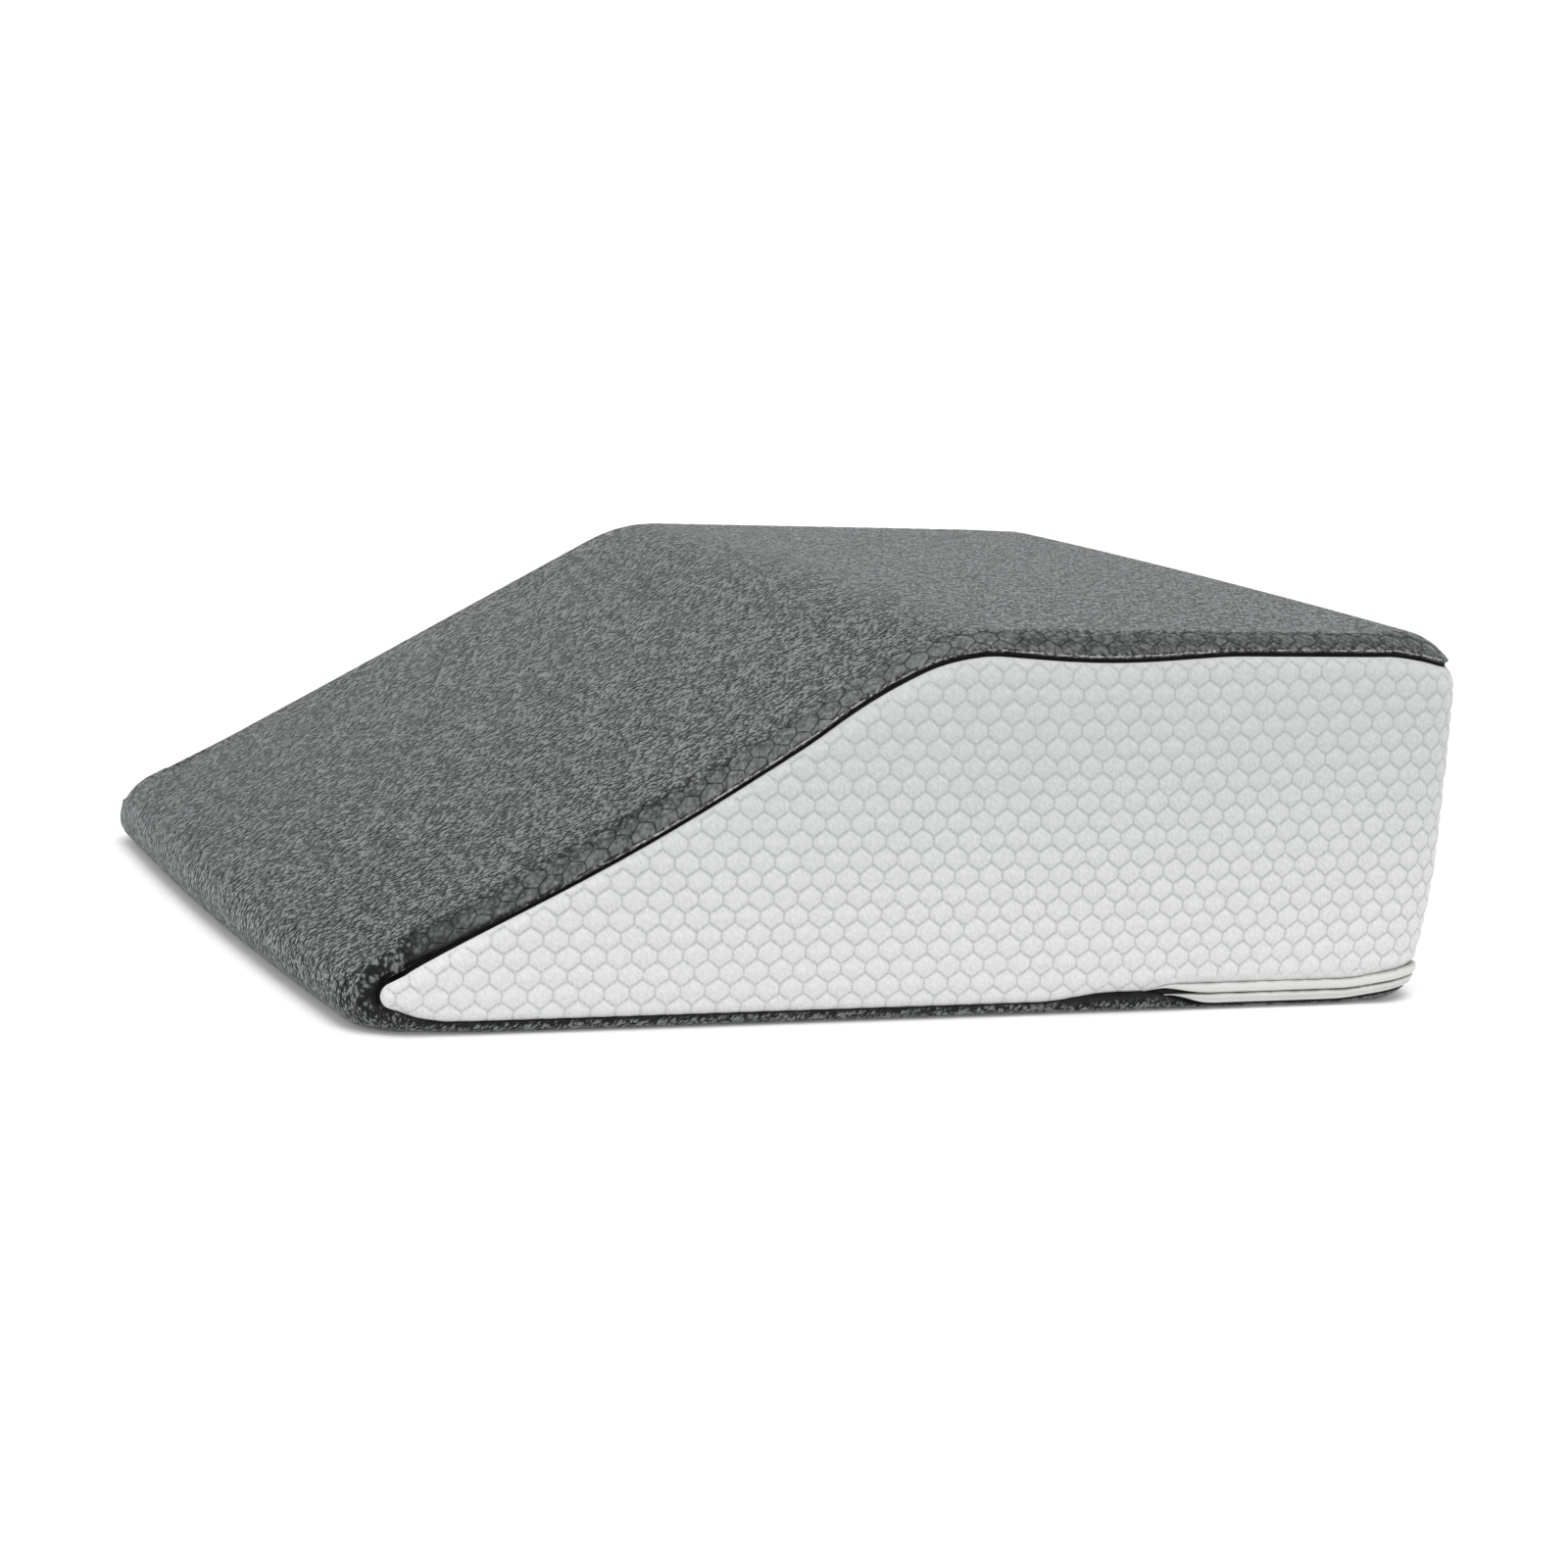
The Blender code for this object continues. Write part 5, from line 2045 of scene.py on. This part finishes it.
@dataclass
class Pillow:
    """The whole pillow: every piece, its finish, what carries it and what it replaces."""

    form: WedgeForm = field(default_factory=WedgeForm)
    quilting: HexQuilting = field(default_factory=HexQuilting)
    grey_quilting: HexQuilting = field(
        default_factory=lambda: HexQuilting(origin_u=0.0, origin_v=0.2645))
    slanted_stitch: Stitch = Stitch(spacing=0.0029, length=0.0023, width=0.00045)
    upright_stitch: Stitch = Stitch(spacing=0.00145, length=0.00085, width=0.00068)

    def adopt(self, piece: bpy.types.Object, slot: str, *nodes: str) -> None:
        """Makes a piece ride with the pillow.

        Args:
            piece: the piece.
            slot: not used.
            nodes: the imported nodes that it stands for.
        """
        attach(piece, "root")
        if nodes:
            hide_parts(*nodes)
        piece.data.update()
        LOG.info("%s: %d faces", piece.name, len(piece.data.polygons))

    def build(self) -> None:
        """Makes every piece of the pillow."""
        seams = Seams(self.form)
        grey = GreyKnit(self.grey_quilting).build()
        white = WhiteQuilt(self.quilting).build()
        plain = StripCloth().build()
        thread = Thread().build()
        lip = Thread(name="lip_cloth", color=(0.035, 0.037, 0.038), light=(0.36, 0.362, 0.356),
                     fibre=420.0).build()

        cover = GreyCover(self.form, seams, self.grey_quilting).build(grey)
        self.adopt(cover, "grey_cloth", "cushion")

        for side in Side:
            half = QuiltedSide(self.form, seams, self.quilting, side)
            cloth = half.build(white)
            self.adopt(cloth, "white_quilt", f"boxing_{side.value}")
            for upright, stitch in ((False, self.slanted_stitch), (True, self.upright_stitch)):
                row = QuiltingStitches(side, upright, stitch)
                sewn = row.build(half.thread_lines(upright), thread)
                self.adopt(sewn, "white_quilt")
            flat, area = half.flat_size()

        for which in Strip:
            strip = ZipStrip(self.form, seams, which).build(plain)
            self.adopt(strip, "strip_cloth", f"zip_strip_{which.value}")
        self.adopt(SeamLip(self.form, seams).build(lip), "grey_cloth")


@dataclass
class Studio:
    """Floor, light, sky and camera."""

    floor_size: float = 120.0
    floor_height: float = -0.0002
    horizon: float = 1.02
    zenith: float = 0.76
    sky_blend: tuple[float, float] = (0.22, 0.75)
    sun_strength: float = 1.45
    sun_spread: float = math.radians(40)
    sun_from: tuple[float, float, float] = (-0.10, -0.32, 1.0)
    yaw: float = math.radians(22.64)
    pitch: float = math.radians(9.31)
    roll: float = math.radians(3.34)
    distance: float = 2.1388
    target: tuple[float, float, float] = (0.0234, 0.0, 0.0743)
    lens: float = 86.3226
    sensor: float = 36.0
    clip: tuple[float, float] = (0.05, 200.0)

    def build(self) -> None:
        """Sets up the studio."""
        self.lay_floor()
        self.hang_light()
        self.open_sky()
        self.set_camera()
        bpy.context.scene.view_settings.view_transform = "Standard"

    def lay_floor(self) -> None:
        """Lays the floor just under the pillow."""
        half = self.floor_size / 2
        parts = MeshParts()
        parts.add([(x * half, y * half, self.floor_height)
                   for x, y in ((-1, -1), (1, -1), (1, 1), (-1, 1))])
        parts.faces.append((0, 1, 2, 3))
        floor = place("floor", parts.mesh("floor"), PaleFloor().build())

    def hang_light(self) -> None:
        """Adds one wide, soft light from above and in front."""
        lamp = bpy.data.lights.new("soft_light", "SUN")
        lamp.energy, lamp.angle = self.sun_strength, self.sun_spread
        lit = link("soft_light", lamp)
        lit.rotation_euler = (-Vector(self.sun_from)).to_track_quat("-Z", "Y").to_euler()

    def open_sky(self) -> None:
        """Makes the sky white, brightest near the horizon."""
        world = bpy.data.worlds.new("studio_sky")
        bpy.context.scene.world = world
        tree = ShaderTree(world)
        height = tree.axis(tree.coordinates("Generated"), 2)
        share = height.blend(*self.sky_blend)
        color = tree.mix(share, (self.horizon,) * 3, (self.zenith,) * 3)
        sky = tree.node("ShaderNodeBackground", None, {"Color": color, "Strength": 1.0})
        tree.node("ShaderNodeOutputWorld", None, {"Surface": sky})

    def set_camera(self) -> None:
        """Sets the camera at the photograph's viewing angle."""
        forward = Vector((math.sin(self.yaw) * math.cos(self.pitch),
                          math.cos(self.yaw) * math.cos(self.pitch), -math.sin(self.pitch)))
        level = Vector((math.cos(self.yaw), -math.sin(self.yaw), 0.0))
        upward = level.cross(forward)
        right = math.cos(self.roll) * level + math.sin(self.roll) * upward
        up = -math.sin(self.roll) * level + math.cos(self.roll) * upward
        spot = Vector(self.target) - self.distance * forward
        lens = bpy.data.cameras.new("camera")
        lens.sensor_width = self.sensor
        lens.lens = self.lens
        lens.clip_start, lens.clip_end = self.clip
        camera = link("camera", lens)
        turn = Matrix((right, up, -forward)).transposed().to_4x4()
        camera.matrix_world = Matrix.Translation(spot) @ turn
        bpy.context.scene.camera = camera


def main() -> None:
    """Builds the pillow and the studio round it."""
    logging.basicConfig(level=logging.INFO, format="%(name)s %(message)s")
    Pillow().build()
    Studio().build()


if __name__ == "__main__":
    main()
